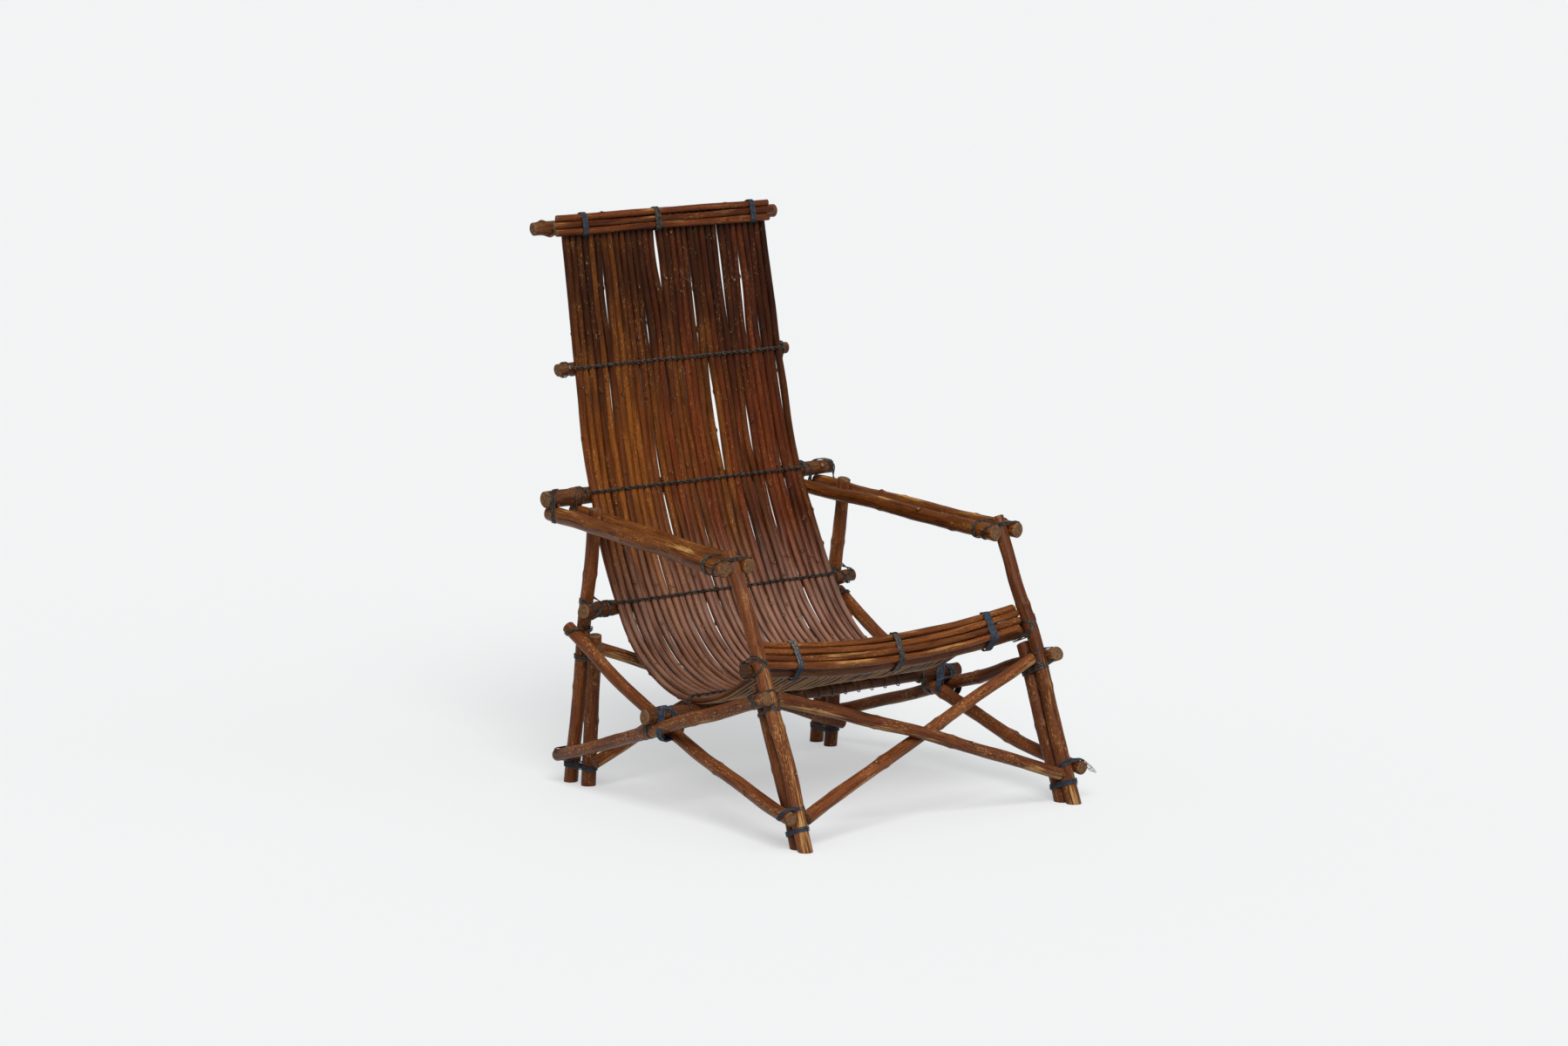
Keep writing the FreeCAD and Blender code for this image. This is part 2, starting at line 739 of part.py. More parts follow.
def arm_rear(sign):
    arm = V(sign * arm_x(arm_bar.y, arm_offset), arm_bar.y, arm_z(arm_bar.y))
    bar = V(arm.x, arm_bar.y, arm_bar.z)
    front_end = V(sign * arm_x(arm_front_y, arm_offset), arm_front_y, arm_z(arm_front_y))
    arm_way = (front_end - arm).normalize()
    return cross_lashing(arm, bar, arm_way, X * sign, arm_r, radius("arm_bar_diameter"))


def side_crossing(side):
    """Ring round both side braces, just in front of the seat bar."""
    y = seat_bar.y - radius("seat_bar_diameter") - lashing_half - 2 * wire_clear
    spots = []
    for kind in ("falling", "rising"):
        points = spines["%s_side_brace_%s" % (kind, side)].discretize(Number=800)
        spots.append(min(points, key=lambda point: abs(point.y - y)))
    around = V(brace_r + wire_clear, 0, brace_r + lashing_half)
    low = V(min(spot.x for spot in spots), y, min(spot.z for spot in spots)) - around
    top = V(max(spot.x for spot in spots), y, max(spot.z for spot in spots)) + around
    half_across = (top.x - low.x) / 2
    half_along = (top.z - low.z) / 2
    return winding((low + top) / 2, X, V(0, 0, 1), V(0, 1, 0), half_across, half_along, half_turns,
                   wire_pitch, (brace_r, brace_r))


SIGNS = (-1, 1)
foot = size("foot_lashing_height")
front_joint = size("front_joint_lashing_height")
rear_joint = size("rear_joint_lashing_height")
wire_group("front_foot_lashings", [front_pair(foot, sign) for sign in SIGNS])
wire_group("rear_foot_lashings", [rear_pair(foot, sign) for sign in SIGNS])
wire_group("front_joint_lashings", [front_pair(front_joint, sign) for sign in SIGNS])
wire_group("rear_joint_lashings", [rear_pair(rear_joint, sign) for sign in SIGNS])
wire_group("lumbar_lashings", [lumbar_cross(sign) for sign in SIGNS])
wire_group("front_rail_lashings", [rail_cross(sign) for sign in SIGNS])
wire_group("arm_front_lashings", [arm_front(sign) for sign in SIGNS])
wire_group("arm_rear_lashings", [arm_rear(sign) for sign in SIGNS])
wire_group("side_crossing_lashings", [side_crossing(side) for side in ("left", "right")])

# Lashings round the edge rods, through three gaps between the rods each

edge_half_turns = 2 * int(size("edge_lashing_turns"))


def top_edge_lashing(gap_number):
    low_run = top_contact.z - top_lashing_half * math.sin(back_angle)
    pitch = rod_x(mat_half, low_run) * 2 / (rod_count - 1)
    front = rod_r + fit + size("edge_rod_diameter") + wire_clear
    half_along = (front + top_lashing_back) / 2
    centre = top_contact + back_front * (front - half_along) + X * (gap_number * pitch)
    return winding(centre, back_up, back_front, X, top_lashing_half, half_along, edge_half_turns, pitch,
                   (lashing_corner, lashing_corner))


def front_edge_lashing(gap_number):
    pitch = rod_x(mat_half, size("rail_height")) * 2 / (rod_count - 1)
    rail, forward, upward = edge_section(gap_number * pitch)
    along_rail = V(rail_bend, 0, rail.x).normalize()
    around = edge_r + wire_clear
    reach = (max(place[0] for place in EDGE_PLACES) + around, -rail_r - wire_clear)
    lift = (max(place[1] for place in EDGE_PLACES) + around, -rail_r - wire_clear)
    centre = rail + forward * (sum(reach) / 2) + upward * (sum(lift) / 2)
    return winding(centre, forward, upward, along_rail, (reach[0] - reach[1]) / 2, (lift[0] - lift[1]) / 2,
                   edge_half_turns, pitch, (lashing_corner, rail_r))


TOP_GAPS = (-13.5, -1.5, 14.5)
FRONT_GAPS = (-14.5, 0.5, 14.5)
wire_group("top_edge_lashings", [top_edge_lashing(gap_number) for gap_number in TOP_GAPS])
wire_group("front_edge_lashings", [front_edge_lashing(gap_number) for gap_number in FRONT_GAPS])

# Lacing: one wire along each bar, round the bar and through every gap between the rods


def lacing(name, contact, angle, bar, bar_diameter):
    """The wire crosses a rod in front, goes through a gap, and crosses the bar behind."""
    out = behind(angle) * -1
    up = V(0, math.cos(angle), math.sin(angle))
    pitch = rod_x(mat_half, contact.z) * 2 / (rod_count - 1)
    half_across = radius(bar_diameter) + wire_clear
    front = rod_r + wire_clear
    back = (bar - contact).Length + half_across
    half_along = (front + back) / 2
    centre = contact + out * (front - half_along)
    bends = (size("lacing_corner"), half_across)
    keep(wind(name, winding(centre, up, out, X, half_across, half_along, rod_count - 2, 2 * pitch, bends)))


lacing("upper_lacing", upper_contact, upper_angle, upper_bar, "upper_bar_diameter")
lacing("arm_lacing", arm_contact, arm_angle, arm_bar, "arm_bar_diameter")
lacing("lumbar_lacing", lumbar_contact, lumbar_slope, lumbar_bar, "lumbar_bar_diameter")
lacing("seat_lacing", seat_contact, seat_angle, seat_bar, "seat_bar_diameter")

# Check every object and write one file per piece

doc.recompute()
for item in doc.Objects:
    if "Invalid" in item.State or "Error" in item.State:
        raise RuntimeError("%s failed: %s" % (item.Name, item.State))
os.makedirs("parts", exist_ok=True)
for piece in pieces:
    if piece.Shape.isNull() or not piece.Shape.isValid():
        raise RuntimeError("%s has no valid shape" % piece.Label)
    piece.Shape.exportStep("parts/%s.step" % piece.Label)
print("%d pieces written" % len(pieces))
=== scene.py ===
# A low lounge chair of varnished willow poles and rods, lashed together with wire.
# The pieces follow in the order in which a maker puts them together.
import bmesh
import bpy
import math
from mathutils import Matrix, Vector, noise


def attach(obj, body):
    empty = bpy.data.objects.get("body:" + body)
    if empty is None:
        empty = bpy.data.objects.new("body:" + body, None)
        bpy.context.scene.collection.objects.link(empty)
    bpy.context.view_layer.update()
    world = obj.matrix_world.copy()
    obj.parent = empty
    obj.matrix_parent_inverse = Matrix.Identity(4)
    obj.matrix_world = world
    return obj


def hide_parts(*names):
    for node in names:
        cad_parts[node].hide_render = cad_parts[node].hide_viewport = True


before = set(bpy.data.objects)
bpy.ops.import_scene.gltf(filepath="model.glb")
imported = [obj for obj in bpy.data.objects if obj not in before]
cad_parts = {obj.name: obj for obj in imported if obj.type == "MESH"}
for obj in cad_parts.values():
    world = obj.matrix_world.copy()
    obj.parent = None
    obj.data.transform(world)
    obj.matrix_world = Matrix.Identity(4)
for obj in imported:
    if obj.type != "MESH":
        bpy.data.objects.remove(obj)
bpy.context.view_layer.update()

# Front posts: two long willow poles, bowed a little towards the front and leaning back.
# The bark is varnished, scuffed golden where hands and shoes rub it, and the ends are sawn.
SIDES = (("left", -1), ("right", 1))
FRONT_X = 0.3016
# Layers on each pole's points: tone (on the rods also painted shade), knots, bare wood and a
# painted sheen.
POLE_LAYERS = ("tone", "knot", "bare", "painted_sheen")
WAY_STEPS = 20
RING_RISE = 0.09
RING_HALF = 0.006
WELD = 0.00005


def wobble(*place):
    return noise.noise(Vector(place))


def between(value, low, high):
    """Share of the way from low to high, held between 0 and 1."""
    return min(1, max(0, (value - low) / (high - low)))


def bowed(*points):
    """Way along a pole: straight through two points, one even bow through three."""
    first, last = Vector(points[0]), Vector(points[-1])
    middle = Vector(points[1]) if len(points) == 3 else (first + last) / 2

    def way(t):
        near, far = (1 - t) * (1 - 2 * t), t * (2 * t - 1)
        return first * near + middle * (4 * t * (1 - t)) + last * far

    return way


def tapered(foot, loss):
    """Thickness of a pole that grows thinner evenly from its first end to its last."""
    return lambda t: foot - loss * t


def grow(bm, way, thick, seed, sides=20, step=0.004, wander=0.0025, lumps=0.05, oval=0.03,
         twigs=(), rings=(), sawn=(0.1, 0.1), rub=None, shade=None, painted_sheen_of=None, level_foot=False):
    """One pole with its bark: a grid rolled up along the way, with knots and two capped ends."""
    grain = bm.verts.layers.float_vector["grain"]
    tone, knot, bare, painted_sheen = (bm.verts.layers.float[layer] for layer in POLE_LAYERS)
    stops = [way(n / WAY_STEPS) for n in range(WAY_STEPS + 1)]
    length = sum((after - before).length for before, after in zip(stops, stops[1:]))
    rows = max(8, int(length / step))
    crosswise = abs((way(1) - way(0)).normalized().x) > 0.7
    across = Vector((0, 0, 1)) if crosswise else Vector((1, 0, 0))
    made = bmesh.ops.create_grid(bm, x_segments=sides, y_segments=rows, size=0.5)["verts"]
    own_tone = 0.5 + 0.5 * wobble(seed * 3.7, 1.3, 9.1)
    frames = {}
    for vert in made:
        turn = (vert.co.x + 0.5) * math.tau
        t = between(vert.co.y, -0.5, 0.5)
        s = t * length
        row = round(t * rows)
        if row not in frames:
            ahead = (way(min(1, t + 0.002)) - way(max(0, t - 0.002))).normalized()
            side = across.cross(ahead).normalized()
            front = ahead.cross(side)
            fade = min(1, 6 * t * (1 - t)) * wander * 2
            drift = side * wobble(seed, s * 7, 0.5) + front * wobble(seed, s * 7, 7.5)
            swell = 1 + lumps * wobble(seed, s * 22, 3.5)
            swell += sum(RING_RISE * math.exp(-((s - ring) / RING_HALF) ** 2) for ring in rings)
            frames[row] = (way(t) + drift * fade, ahead, side, front, swell * thick(t) / 2)
        centre, ahead, side, front, r = frames[row]
        rough = 0.02 * wobble(math.cos(turn), math.sin(turn) + seed, s * 60)
        r = r * (1 + oval * math.cos(2 * turn + seed + s * 6) + rough)
        bud = 0
        for at, facing, size in twigs:
            if abs(s - at) > 2.5 * size:
                continue
            away = math.remainder(turn - facing, math.tau) * r
            near = math.exp(-(((s - at) / size) ** 2 + (away / size) ** 2) * 1.6)
            r += near * size * 0.55
            bud = max(bud, near)
        out = side * math.cos(turn) + front * math.sin(turn)
        place = centre + out * r
        if t == 0.0 and level_foot:
            place -= ahead * (place.z / ahead.z)
        elif t in (0.0, 1.0):
            place += ahead * (r * sawn[int(t)] * math.cos(turn + seed))
        vert.co = place
        vert[grain] = (r * math.cos(turn), r * math.sin(turn), s + seed * 1.7)
        # shade adds to the tone at each place: on the rods it carries a painted shade on the upper
        # back.
        vert[tone] = own_tone + (shade(place) if shade else 0)
        vert[knot] = bud
        vert[bare] = rub(t, out, place) if rub else 0
        # Painted sheen: a pale highlight colour on the upper crests of the seat rods.
        vert[painted_sheen] = painted_sheen_of(out, place) if painted_sheen_of else 0
    bmesh.ops.remove_doubles(bm, verts=made, dist=WELD)
    made = {vert for vert in made if vert.is_valid}
    rims = [edge for edge in bm.edges if edge.is_boundary and edge.verts[0] in made]
    bmesh.ops.edgeloop_fill(bm, edges=rims, mat_nr=1)
    beside = {face for edge in rims for face in edge.link_faces}
    caps = [face for face in beside if len(face.verts) > 4]
    middle = thick(0.5)
    bmesh.ops.inset_individual(bm, faces=caps, thickness=middle * 0.07, depth=middle * 0.05)
    for face in caps:
        face.material_index = 1


def new_pole():
    bm = bmesh.new()
    bm.verts.layers.float_vector.new("grain")
    for layer in POLE_LAYERS:
        bm.verts.layers.float.new(layer)
    return bm


def hand_over(bm, name, materials, nodes):
    """Turn a finished mesh into a piece of the chair that stands for its CAD nodes."""
    bmesh.ops.recalc_face_normals(bm, faces=bm.faces)
    for face in bm.faces:
        face.smooth = len(face.verts) < 5
    mesh = bpy.data.meshes.new(name)
    bm.to_mesh(mesh)
    bm.free()
    for material in materials:
        mesh.materials.append(material)
    piece = bpy.data.objects.new(name, mesh)
    bpy.context.collection.objects.link(piece)
    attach(piece, "root")
    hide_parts(*nodes)


def pole(name, node, slot, finish, points, thick, seed, **form):
    """One pole through its points, from bare mesh to finished piece."""
    bm = new_pole()
    grow(bm, bowed(*points), thick, seed, **form)
    hand_over(bm, name, finish, [node])


def set_inputs(node, **values):
    for name, value in values.items():
        node.inputs[name.replace("_", " ")].default_value = value


def new_material(name):
    """A material, with its nodes, its links and its shader."""
    material = bpy.data.materials.new(name)
    material.use_nodes = True
    nodes, links = material.node_tree.nodes, material.node_tree.links
    return material, nodes, links, nodes["Principled BSDF"]


def raised(nodes, links, shader, height, strength, distance):
    """Relief of a surface, from a height."""
    bump = nodes.new("ShaderNodeBump")
    set_inputs(bump, Strength=strength, Distance=distance)
    links.new(height, bump.inputs["Height"])
    links.new(bump.outputs[0], shader.inputs["Normal"])


def two_tones(nodes, links, shader, value, low, high, dark, light):
    """Colour of a surface, from dark to light while a value goes from low to high."""
    spread = nodes.new("ShaderNodeMapRange")
    set_inputs(spread, From_Min=low, From_Max=high)
    links.new(value, spread.inputs["Value"])
    tint = nodes.new("ShaderNodeMix")
    tint.data_type = "RGBA"
    tint.inputs[6].default_value = (*dark, 1)
    tint.inputs[7].default_value = (*light, 1)
    links.new(spread.outputs[0], tint.inputs[0])
    links.new(tint.outputs[2], shader.inputs["Base Color"])


def bark_group():
    """Varnished bark: streaks along the pole, worn patches, dark knots and small pale chips."""
    group = bpy.data.node_groups.new("varnished_bark", "ShaderNodeTree")
    tint, value = "NodeSocketColor", "NodeSocketFloat"
    for name, kind in (("Deep", tint), ("Warm", tint), ("Pale", tint),
                       ("Wear", value), ("Gloss", value), ("Split", value)):
        group.interface.new_socket(name, in_out="INPUT", socket_type=kind)
    for name, kind in (("Color", tint), ("Roughness", value), ("Height", value)):
        group.interface.new_socket(name, in_out="OUTPUT", socket_type=kind)
    nodes, links = group.nodes, group.links
    given = nodes.new("NodeGroupInput").outputs
    result = nodes.new("NodeGroupOutput").inputs

    def connect(socket, value):
        if isinstance(value, (int, float, tuple)):
            socket.default_value = value
        else:
            links.new(value, socket)

    def attribute(name, output="Fac"):
        node = nodes.new("ShaderNodeAttribute")
        node.attribute_name = name
        return node.outputs[output]

    def cloud(scale, detail, rough):
        mapping = nodes.new("ShaderNodeMapping")
        set_inputs(mapping, Scale=scale)
        links.new(attribute("grain", "Vector"), mapping.inputs["Vector"])
        texture = nodes.new("ShaderNodeTexNoise")
        set_inputs(texture, Scale=1, Detail=detail, Roughness=rough)
        links.new(mapping.outputs[0], texture.inputs["Vector"])
        return texture.outputs["Fac"]

    def reckon(kind, *values):
        node = nodes.new("ShaderNodeMath")
        node.operation = kind
        for socket, value in zip(node.inputs, values):
            connect(socket, value)
        return node.outputs[0]

    def plus(first, second):
        return reckon("ADD", first, second)

    def times(first, second):
        return reckon("MULTIPLY", first, second)

    def steps(value, low, high):
        node = nodes.new("ShaderNodeMapRange")
        node.interpolation_type = "SMOOTHSTEP"
        set_inputs(node, From_Min=low, From_Max=high)
        links.new(value, node.inputs["Value"])
        return node.outputs[0]

    def blend(kind, factor, first, second):
        node = nodes.new("ShaderNodeMix")
        node.data_type = "RGBA"
        node.blend_type = kind
        for place, value in ((0, factor), (6, first), (7, second)):
            connect(node.inputs[place], value)
        return node.outputs[2]

    streak = cloud((330, 330, 16), 6, 0.62)
    blotch = cloud((46, 46, 11), 4, 0.55)
    chip = cloud((640, 640, 165), 2, 0.5)
    broad = cloud((12, 12, 4), 2, 0.5)
    speck = cloud((1000, 1000, 420), 3, 0.55)
    mixed = plus(plus(times(attribute("tone"), 0.42), times(blotch, 0.5)), times(broad, 0.32))
    colour = blend("MIX", steps(mixed, 0.32, 0.86), given["Deep"], given["Warm"])
    streaked = times(steps(streak, 0.56, 0.36), 0.8)
    colour = blend("MULTIPLY", streaked, colour, (0.42, 0.34, 0.30, 1))
    specked = times(steps(speck, 0.52, 0.36), 0.75)
    colour = blend("MULTIPLY", specked, colour, (0.40, 0.33, 0.30, 1))
    # Painted sheen: where that layer is set, patches turn pale pinkish-brown, a highlight painted
    # into the colour.
    painted_sheen_share = times(attribute("painted_sheen"), steps(plus(blotch, streak), 0.55, 1.25))
    colour = blend("MIX", painted_sheen_share, colour, (0.30, 0.152, 0.104, 1))
    worn = plus(times(attribute("bare"), given["Wear"]), times(blotch, 0.5))
    worn = steps(plus(worn, times(streak, 0.8)), 0.90, 1.08)
    colour = blend("MIX", times(worn, 0.85), colour, given["Pale"])
    loose = reckon("MULTIPLY_ADD", given["Wear"], 0.20, chip)
    flecks = times(steps(loose, 0.735, 0.80), steps(blotch, 0.45, 0.60))
    colour = blend("MIX", times(flecks, 0.66), colour, given["Pale"])
    apart = nodes.new("ShaderNodeSeparateXYZ")
    links.new(attribute("grain", "Vector"), apart.inputs[0])
    around = reckon("ARCTAN2", apart.outputs["Y"], apart.outputs["X"])
    around = reckon("MULTIPLY_ADD", cloud((0, 0, 7), 3, 0.6), 1.5, around)
    away = reckon("ABSOLUTE", reckon("COSINE", reckon("SUBTRACT", around, 0.75)))
    crack = times(steps(away, 0.15, 0.04), steps(cloud((0, 0, 9.5), 2, 0.5), 0.47, 0.56))
    crack = times(crack, given["Split"])
    colour = blend("MULTIPLY", crack, colour, (0.14, 0.11, 0.10, 1))
    ring = steps(attribute("knot"), 0.12, 0.5)
    tip = steps(attribute("knot"), 0.60, 0.90)
    colour = blend("MULTIPLY", times(ring, 0.75), colour, (0.35, 0.30, 0.28, 1))
    links.new(blend("MIX", times(tip, 0.75), colour, given["Pale"]), result["Color"])
    rough = plus(given["Gloss"], times(worn, 0.22))
    links.new(plus(rough, times(reckon("SUBTRACT", streak, 0.5), 0.35)), result["Roughness"])
    height = plus(times(streak, 0.7), times(worn, -0.35))
    height = plus(height, times(flecks, -0.25))
    links.new(plus(height, times(crack, -1.2)), result["Height"])
    return group


varnished_bark = bark_group()


def bark(name, deep, warm, pale, wear=0.5, gloss=0.36, split=0.0):
    material, nodes, links, shader = new_material(name)
    skin = nodes.new("ShaderNodeGroup")
    skin.node_tree = varnished_bark
    set_inputs(skin, Deep=(*deep, 1), Warm=(*warm, 1), Pale=(*pale, 1),
               Wear=wear, Gloss=gloss, Split=split)
    links.new(skin.outputs["Color"], shader.inputs["Base Color"])
    links.new(skin.outputs["Roughness"], shader.inputs["Roughness"])
    raised(nodes, links, shader, skin.outputs["Height"], 0.5, 0.0012)
    set_inputs(shader, Specular_IOR_Level=0.09, Coat_Weight=0.07, Coat_Roughness=0.28)
    return material


def sawn_wood(name, light, dark):
    """End of a pole: growth rings round the pith, stained and dirty from use."""
    material, nodes, links, shader = new_material(name)
    grain = nodes.new("ShaderNodeAttribute")
    grain.attribute_name = "grain"
    rings = nodes.new("ShaderNodeTexWave")
    rings.wave_type = "RINGS"
    rings.rings_direction = "Z"
    set_inputs(rings, Scale=110, Distortion=3, Detail=3)
    dirt = nodes.new("ShaderNodeTexNoise")
    set_inputs(dirt, Scale=170, Detail=5)
    for texture in (rings, dirt):
        links.new(grain.outputs["Vector"], texture.inputs["Vector"])
    both = nodes.new("ShaderNodeMath")
    both.operation = "MULTIPLY_ADD"
    both.inputs[1].default_value = 0.35
    links.new(rings.outputs["Fac"], both.inputs[0])
    links.new(dirt.outputs["Fac"], both.inputs[2])
    two_tones(nodes, links, shader, both.outputs[0], 0.42, 0.95, dark, light)
    raised(nodes, links, shader, both.outputs[0], 0.5, 0.001)
    set_inputs(shader, Roughness=0.7, Specular_IOR_Level=0.15)
    return material


leg_bark = bark("leg_bark", (0.098, 0.027, 0.009), (0.271, 0.086, 0.025), (0.564, 0.328, 0.118),
                wear=0.8, split=0.5)
sawn_end = sawn_wood("sawn_end", (0.27, 0.14, 0.062), (0.055, 0.025, 0.013))
LEG_FINISH = (leg_bark, sawn_end)


def scuffed_front(t, out, place):
    facing = max(0, -out.y * 0.55 - out.x * 0.12)
    patches = 0.55 + 0.6 * wobble(place.z * 9, place.x * 5, 2.2)
    return facing * patches + 0.9 * max(0, 0.10 - t)


for side, sign in SIDES:
    x = sign * FRONT_X
    pole("front_post_bark_" + side, "front_post_" + side, "leg_wood", LEG_FINISH,
         ((x, -0.4092, 0.0), (x, -0.311, 0.2465), (x, -0.1984, 0.4825)), tapered(0.0262, 0.0022),
         3 + sign, twigs=((0.13, 1.2 + sign, 0.006), (0.33, 4.0, 0.007)), rings=(0.21, 0.36),
         rub=scuffed_front, level_foot=True)

# Short front legs: a second pole stands behind each front post, up to the underside of the
# front rail. The two share the load at the foot, where wire holds them side by side.
LEG_INSET = 0.005
for side, sign in SIDES:
    x = sign * (FRONT_X - LEG_INSET)
    pole("front_short_leg_bark_" + side, "front_short_leg_" + side, "leg_wood", LEG_FINISH,
         ((x, -0.3826, 0.0), (x, -0.3327, 0.1333), (x, -0.2763, 0.2666)), tapered(0.0262, 0.0015),
         11 + sign, twigs=((0.09, 2.2, 0.006),), rings=(0.14,), level_foot=True)

# Rear posts and rear short legs: straight poles that lean towards the front as they rise.
# The long ones go up between the arm poles, and the short ones carry the rear cross braces.
REAR_X = 0.2826
for side, sign in SIDES:
    x = sign * REAR_X
    pole("rear_post_bark_" + side, "rear_post_" + side, "leg_wood", LEG_FINISH,
         ((x, 0.2880, 0.0), (x, 0.2083, 0.5032)), tapered(0.0258, 0.0018), 21 + sign,
         wander=0.002, twigs=((0.27, 3.0, 0.006),), rings=(0.18, 0.39), level_foot=True)
    x = sign * (REAR_X - LEG_INSET)
    pole("rear_short_leg_bark_" + side, "rear_short_leg_" + side, "leg_wood", LEG_FINISH,
         ((x, 0.2410, 0.0), (x, 0.2191, 0.275)), tapered(0.0262, 0.0016), 31 + sign,
         wander=0.0015, rings=(0.12,), level_foot=True)

# Arm poles: an outer and an inner pole on each side clamp both posts between them.
# Their tops are rubbed golden by hands, and their undersides are pale, split and hardly varnished.
arm_bark = bark("arm_bark", (0.104, 0.027, 0.006), (0.296, 0.094, 0.018), (0.558, 0.306, 0.090),
                wear=0.7, gloss=0.33, split=0.9)


def rubbed_arm(t, out, place):
    top = max(0, out.z) * (0.24 + 0.42 * wobble(place.y * 8, place.x * 11, 5.1))
    under = max(0, -out.z - 0.45) * 0.9
    return top + under


# Node, place of the front end and of the rear end across the chair, thickness and seed
ARMS = (
    ("outer_arm_left", -0.328, -0.3037, 0.0305, 41),
    ("inner_arm_left", -0.2764, -0.2521, 0.0265, 42),
    ("outer_arm_right", 0.328, 0.3037, 0.0270, 43),
    ("inner_arm_right", 0.2764, 0.2521, 0.0275, 44),
)
for node, front_x, rear_x, thick, seed in ARMS:
    pole(node + "_bark", node, "arm_wood", (arm_bark, sawn_end),
         ((front_x, -0.2242, 0.4593), (rear_x, 0.3152, 0.4857)), tapered(thick, 0.10 * thick),
         seed, wander=0.003, lumps=0.06, rings=(0.11, 0.30), rub=rubbed_arm,
         twigs=((0.15 + 0.01 * (seed - 40), 0.7 * seed, 0.007), (0.36, 1.9 * seed, 0.006)))

# Cross bars: five round bars run across behind the rods and carry them, one at each lacing and
# one at the top. Each is a length of thicker branch with knobbly sawn ends past the rods.
bar_bark = bark("bar_bark", (0.065, 0.022, 0.009), (0.21, 0.078, 0.027), (0.42, 0.23, 0.10),
                wear=0.5, gloss=0.42)
# Node, half length, place in depth and height, thickness, seed and size of the side spur
BARS = (
    ("top_bar", 0.2721, 0.4049, 0.9824, 0.024, 51, 0.012),
    ("upper_back_bar", 0.2594, 0.351, 0.7336, 0.0225, 52, 0.007),
    ("arm_bar", 0.3238, 0.3007, 0.5128, 0.0285, 53, 0.007),
    ("lumbar_bar", 0.3066, 0.2124, 0.3222, 0.0245, 54, 0.007),
    ("seat_bar", 0.3554, -0.0309, 0.1768, 0.0245, 55, 0.007),
)
BAR_AT = {node: (y, z) for node, half, y, z, *form in BARS}
for node, half, y, z, thick, seed, spur in BARS:
    knobs = ((0.018, 1.0 + seed, 0.008), (0.034, 3.4 + seed, spur),
             (2 * half - 0.03, seed, 0.008), (half, 2.0, 0.006))
    pole(node + "_bark", node, "bar_wood", (bar_bark, sawn_end), ((-half, y, z), (half, y, z)),
         lambda t: thick * (1 + 0.05 * math.cos(t * math.pi)), seed, wander=0.0015, lumps=0.08,
         oval=0.05, twigs=knobs, rings=(0.06, half * 1.2), sawn=(0.18, -0.15))

# Front rail: a stout branch that sags between the front posts and lies behind them.
# The front ends of the seat rods rest on it.
RAIL_Y = -0.26503
RAIL_LOW = 0.266
RAIL_SAG = 0.022
# The rail's sawn ends get darker colours than the other sawn ends.
dark_rail_end = sawn_wood("dark_rail_end", (0.10, 0.045, 0.022), (0.030, 0.013, 0.007))


def rail_height(x):
    return RAIL_LOW + RAIL_SAG * (x / FRONT_X) ** 2


pole("front_rail_bark", "front_rail", "bar_wood", (bar_bark, dark_rail_end),
     ((-0.3185, RAIL_Y, 0.2905), (0, RAIL_Y, RAIL_LOW), (0.3206, RAIL_Y, 0.2909)),
     tapered(0.0285, 0.002), 61, wander=0.002, lumps=0.07, rings=(0.16, 0.45),
     twigs=((0.05, 2.0, 0.007), (0.33, 5.0, 0.007), (0.62, 2.0, 0.008)))

# Rods of the seat and back: thin straight shoots, each in one piece from the top bar down the
# back, through the hollow of the seat and up over the front rail. They lie side by side, with
# a few open slits.
rod_bark = bark("rod_bark", (0.032, 0.0085, 0.0025), (0.178, 0.047, 0.008), (0.409, 0.240, 0.089),
                wear=0.55, gloss=0.34)
golden_rod_bark = bark("golden_rod_bark", (0.043, 0.011, 0.0025), (0.268, 0.079, 0.010),
                       (0.464, 0.267, 0.086), wear=0.6, gloss=0.33)
red_rod_bark = bark("red_rod_bark", (0.040, 0.0095, 0.003), (0.192, 0.041, 0.008),
                    (0.414, 0.225, 0.086), wear=0.55, gloss=0.32)
ROD_COUNT = 33
ROD_PITCH = 0.0152
GROUP_SIZE = 3
BUD_COUNT = 14
MAT_HALF = 0.2432
SEAT_LOW = 0.194
SEAT_CENTRE = Vector((0, -0.01803, 0.429))
SEAT_BEND = 0.235
LUMBAR_CENTRE = Vector((0, -0.66679, 0.83439))
LUMBAR_BEND = 1.0
BACK_FOOT = Vector((0, 0.31136, 0.62648))
BACK_TOP = 0.998
LUMBAR_TURN = math.radians(58)
BACK_TURN = math.radians(78)
SPREAD = math.radians(1.9)
ROD_OVERHANG = 0.016
# Open slits: place across the seat, height, half height and width of each
SLITS = (
    (-0.165, 0.86, 0.075, 0.006), (-0.030, 0.92, 0.060, 0.010), (-0.062, 0.80, 0.05, 0.005),
    (0.055, 0.83, 0.085, 0.007), (0.125, 0.89, 0.085, 0.008), (0.178, 0.85, 0.075, 0.007),
    (0.205, 0.78, 0.04, 0.004), (0.068, 0.63, 0.085, 0.009), (0.145, 0.60, 0.060, 0.006),
    (0.062, 0.45, 0.055, 0.006), (0.105, 0.43, 0.06, 0.006), (0.165, 0.44, 0.05, 0.005),
    (-0.085, 0.44, 0.045, 0.004), (0.15, 0.26, 0.03, 0.006), (0.06, 0.27, 0.025, 0.004),
    (-0.03, 0.38, 0.03, 0.004),
)


def uphill(turn):
    """Direction in the side view that rises at an angle towards the rear."""
    return Vector((0, math.cos(turn), math.sin(turn)))


def outward(turn):
    """Direction in the side view that stands on a slope, away from the bars behind the rods."""
    return Vector((0, -math.sin(turn), math.cos(turn)))


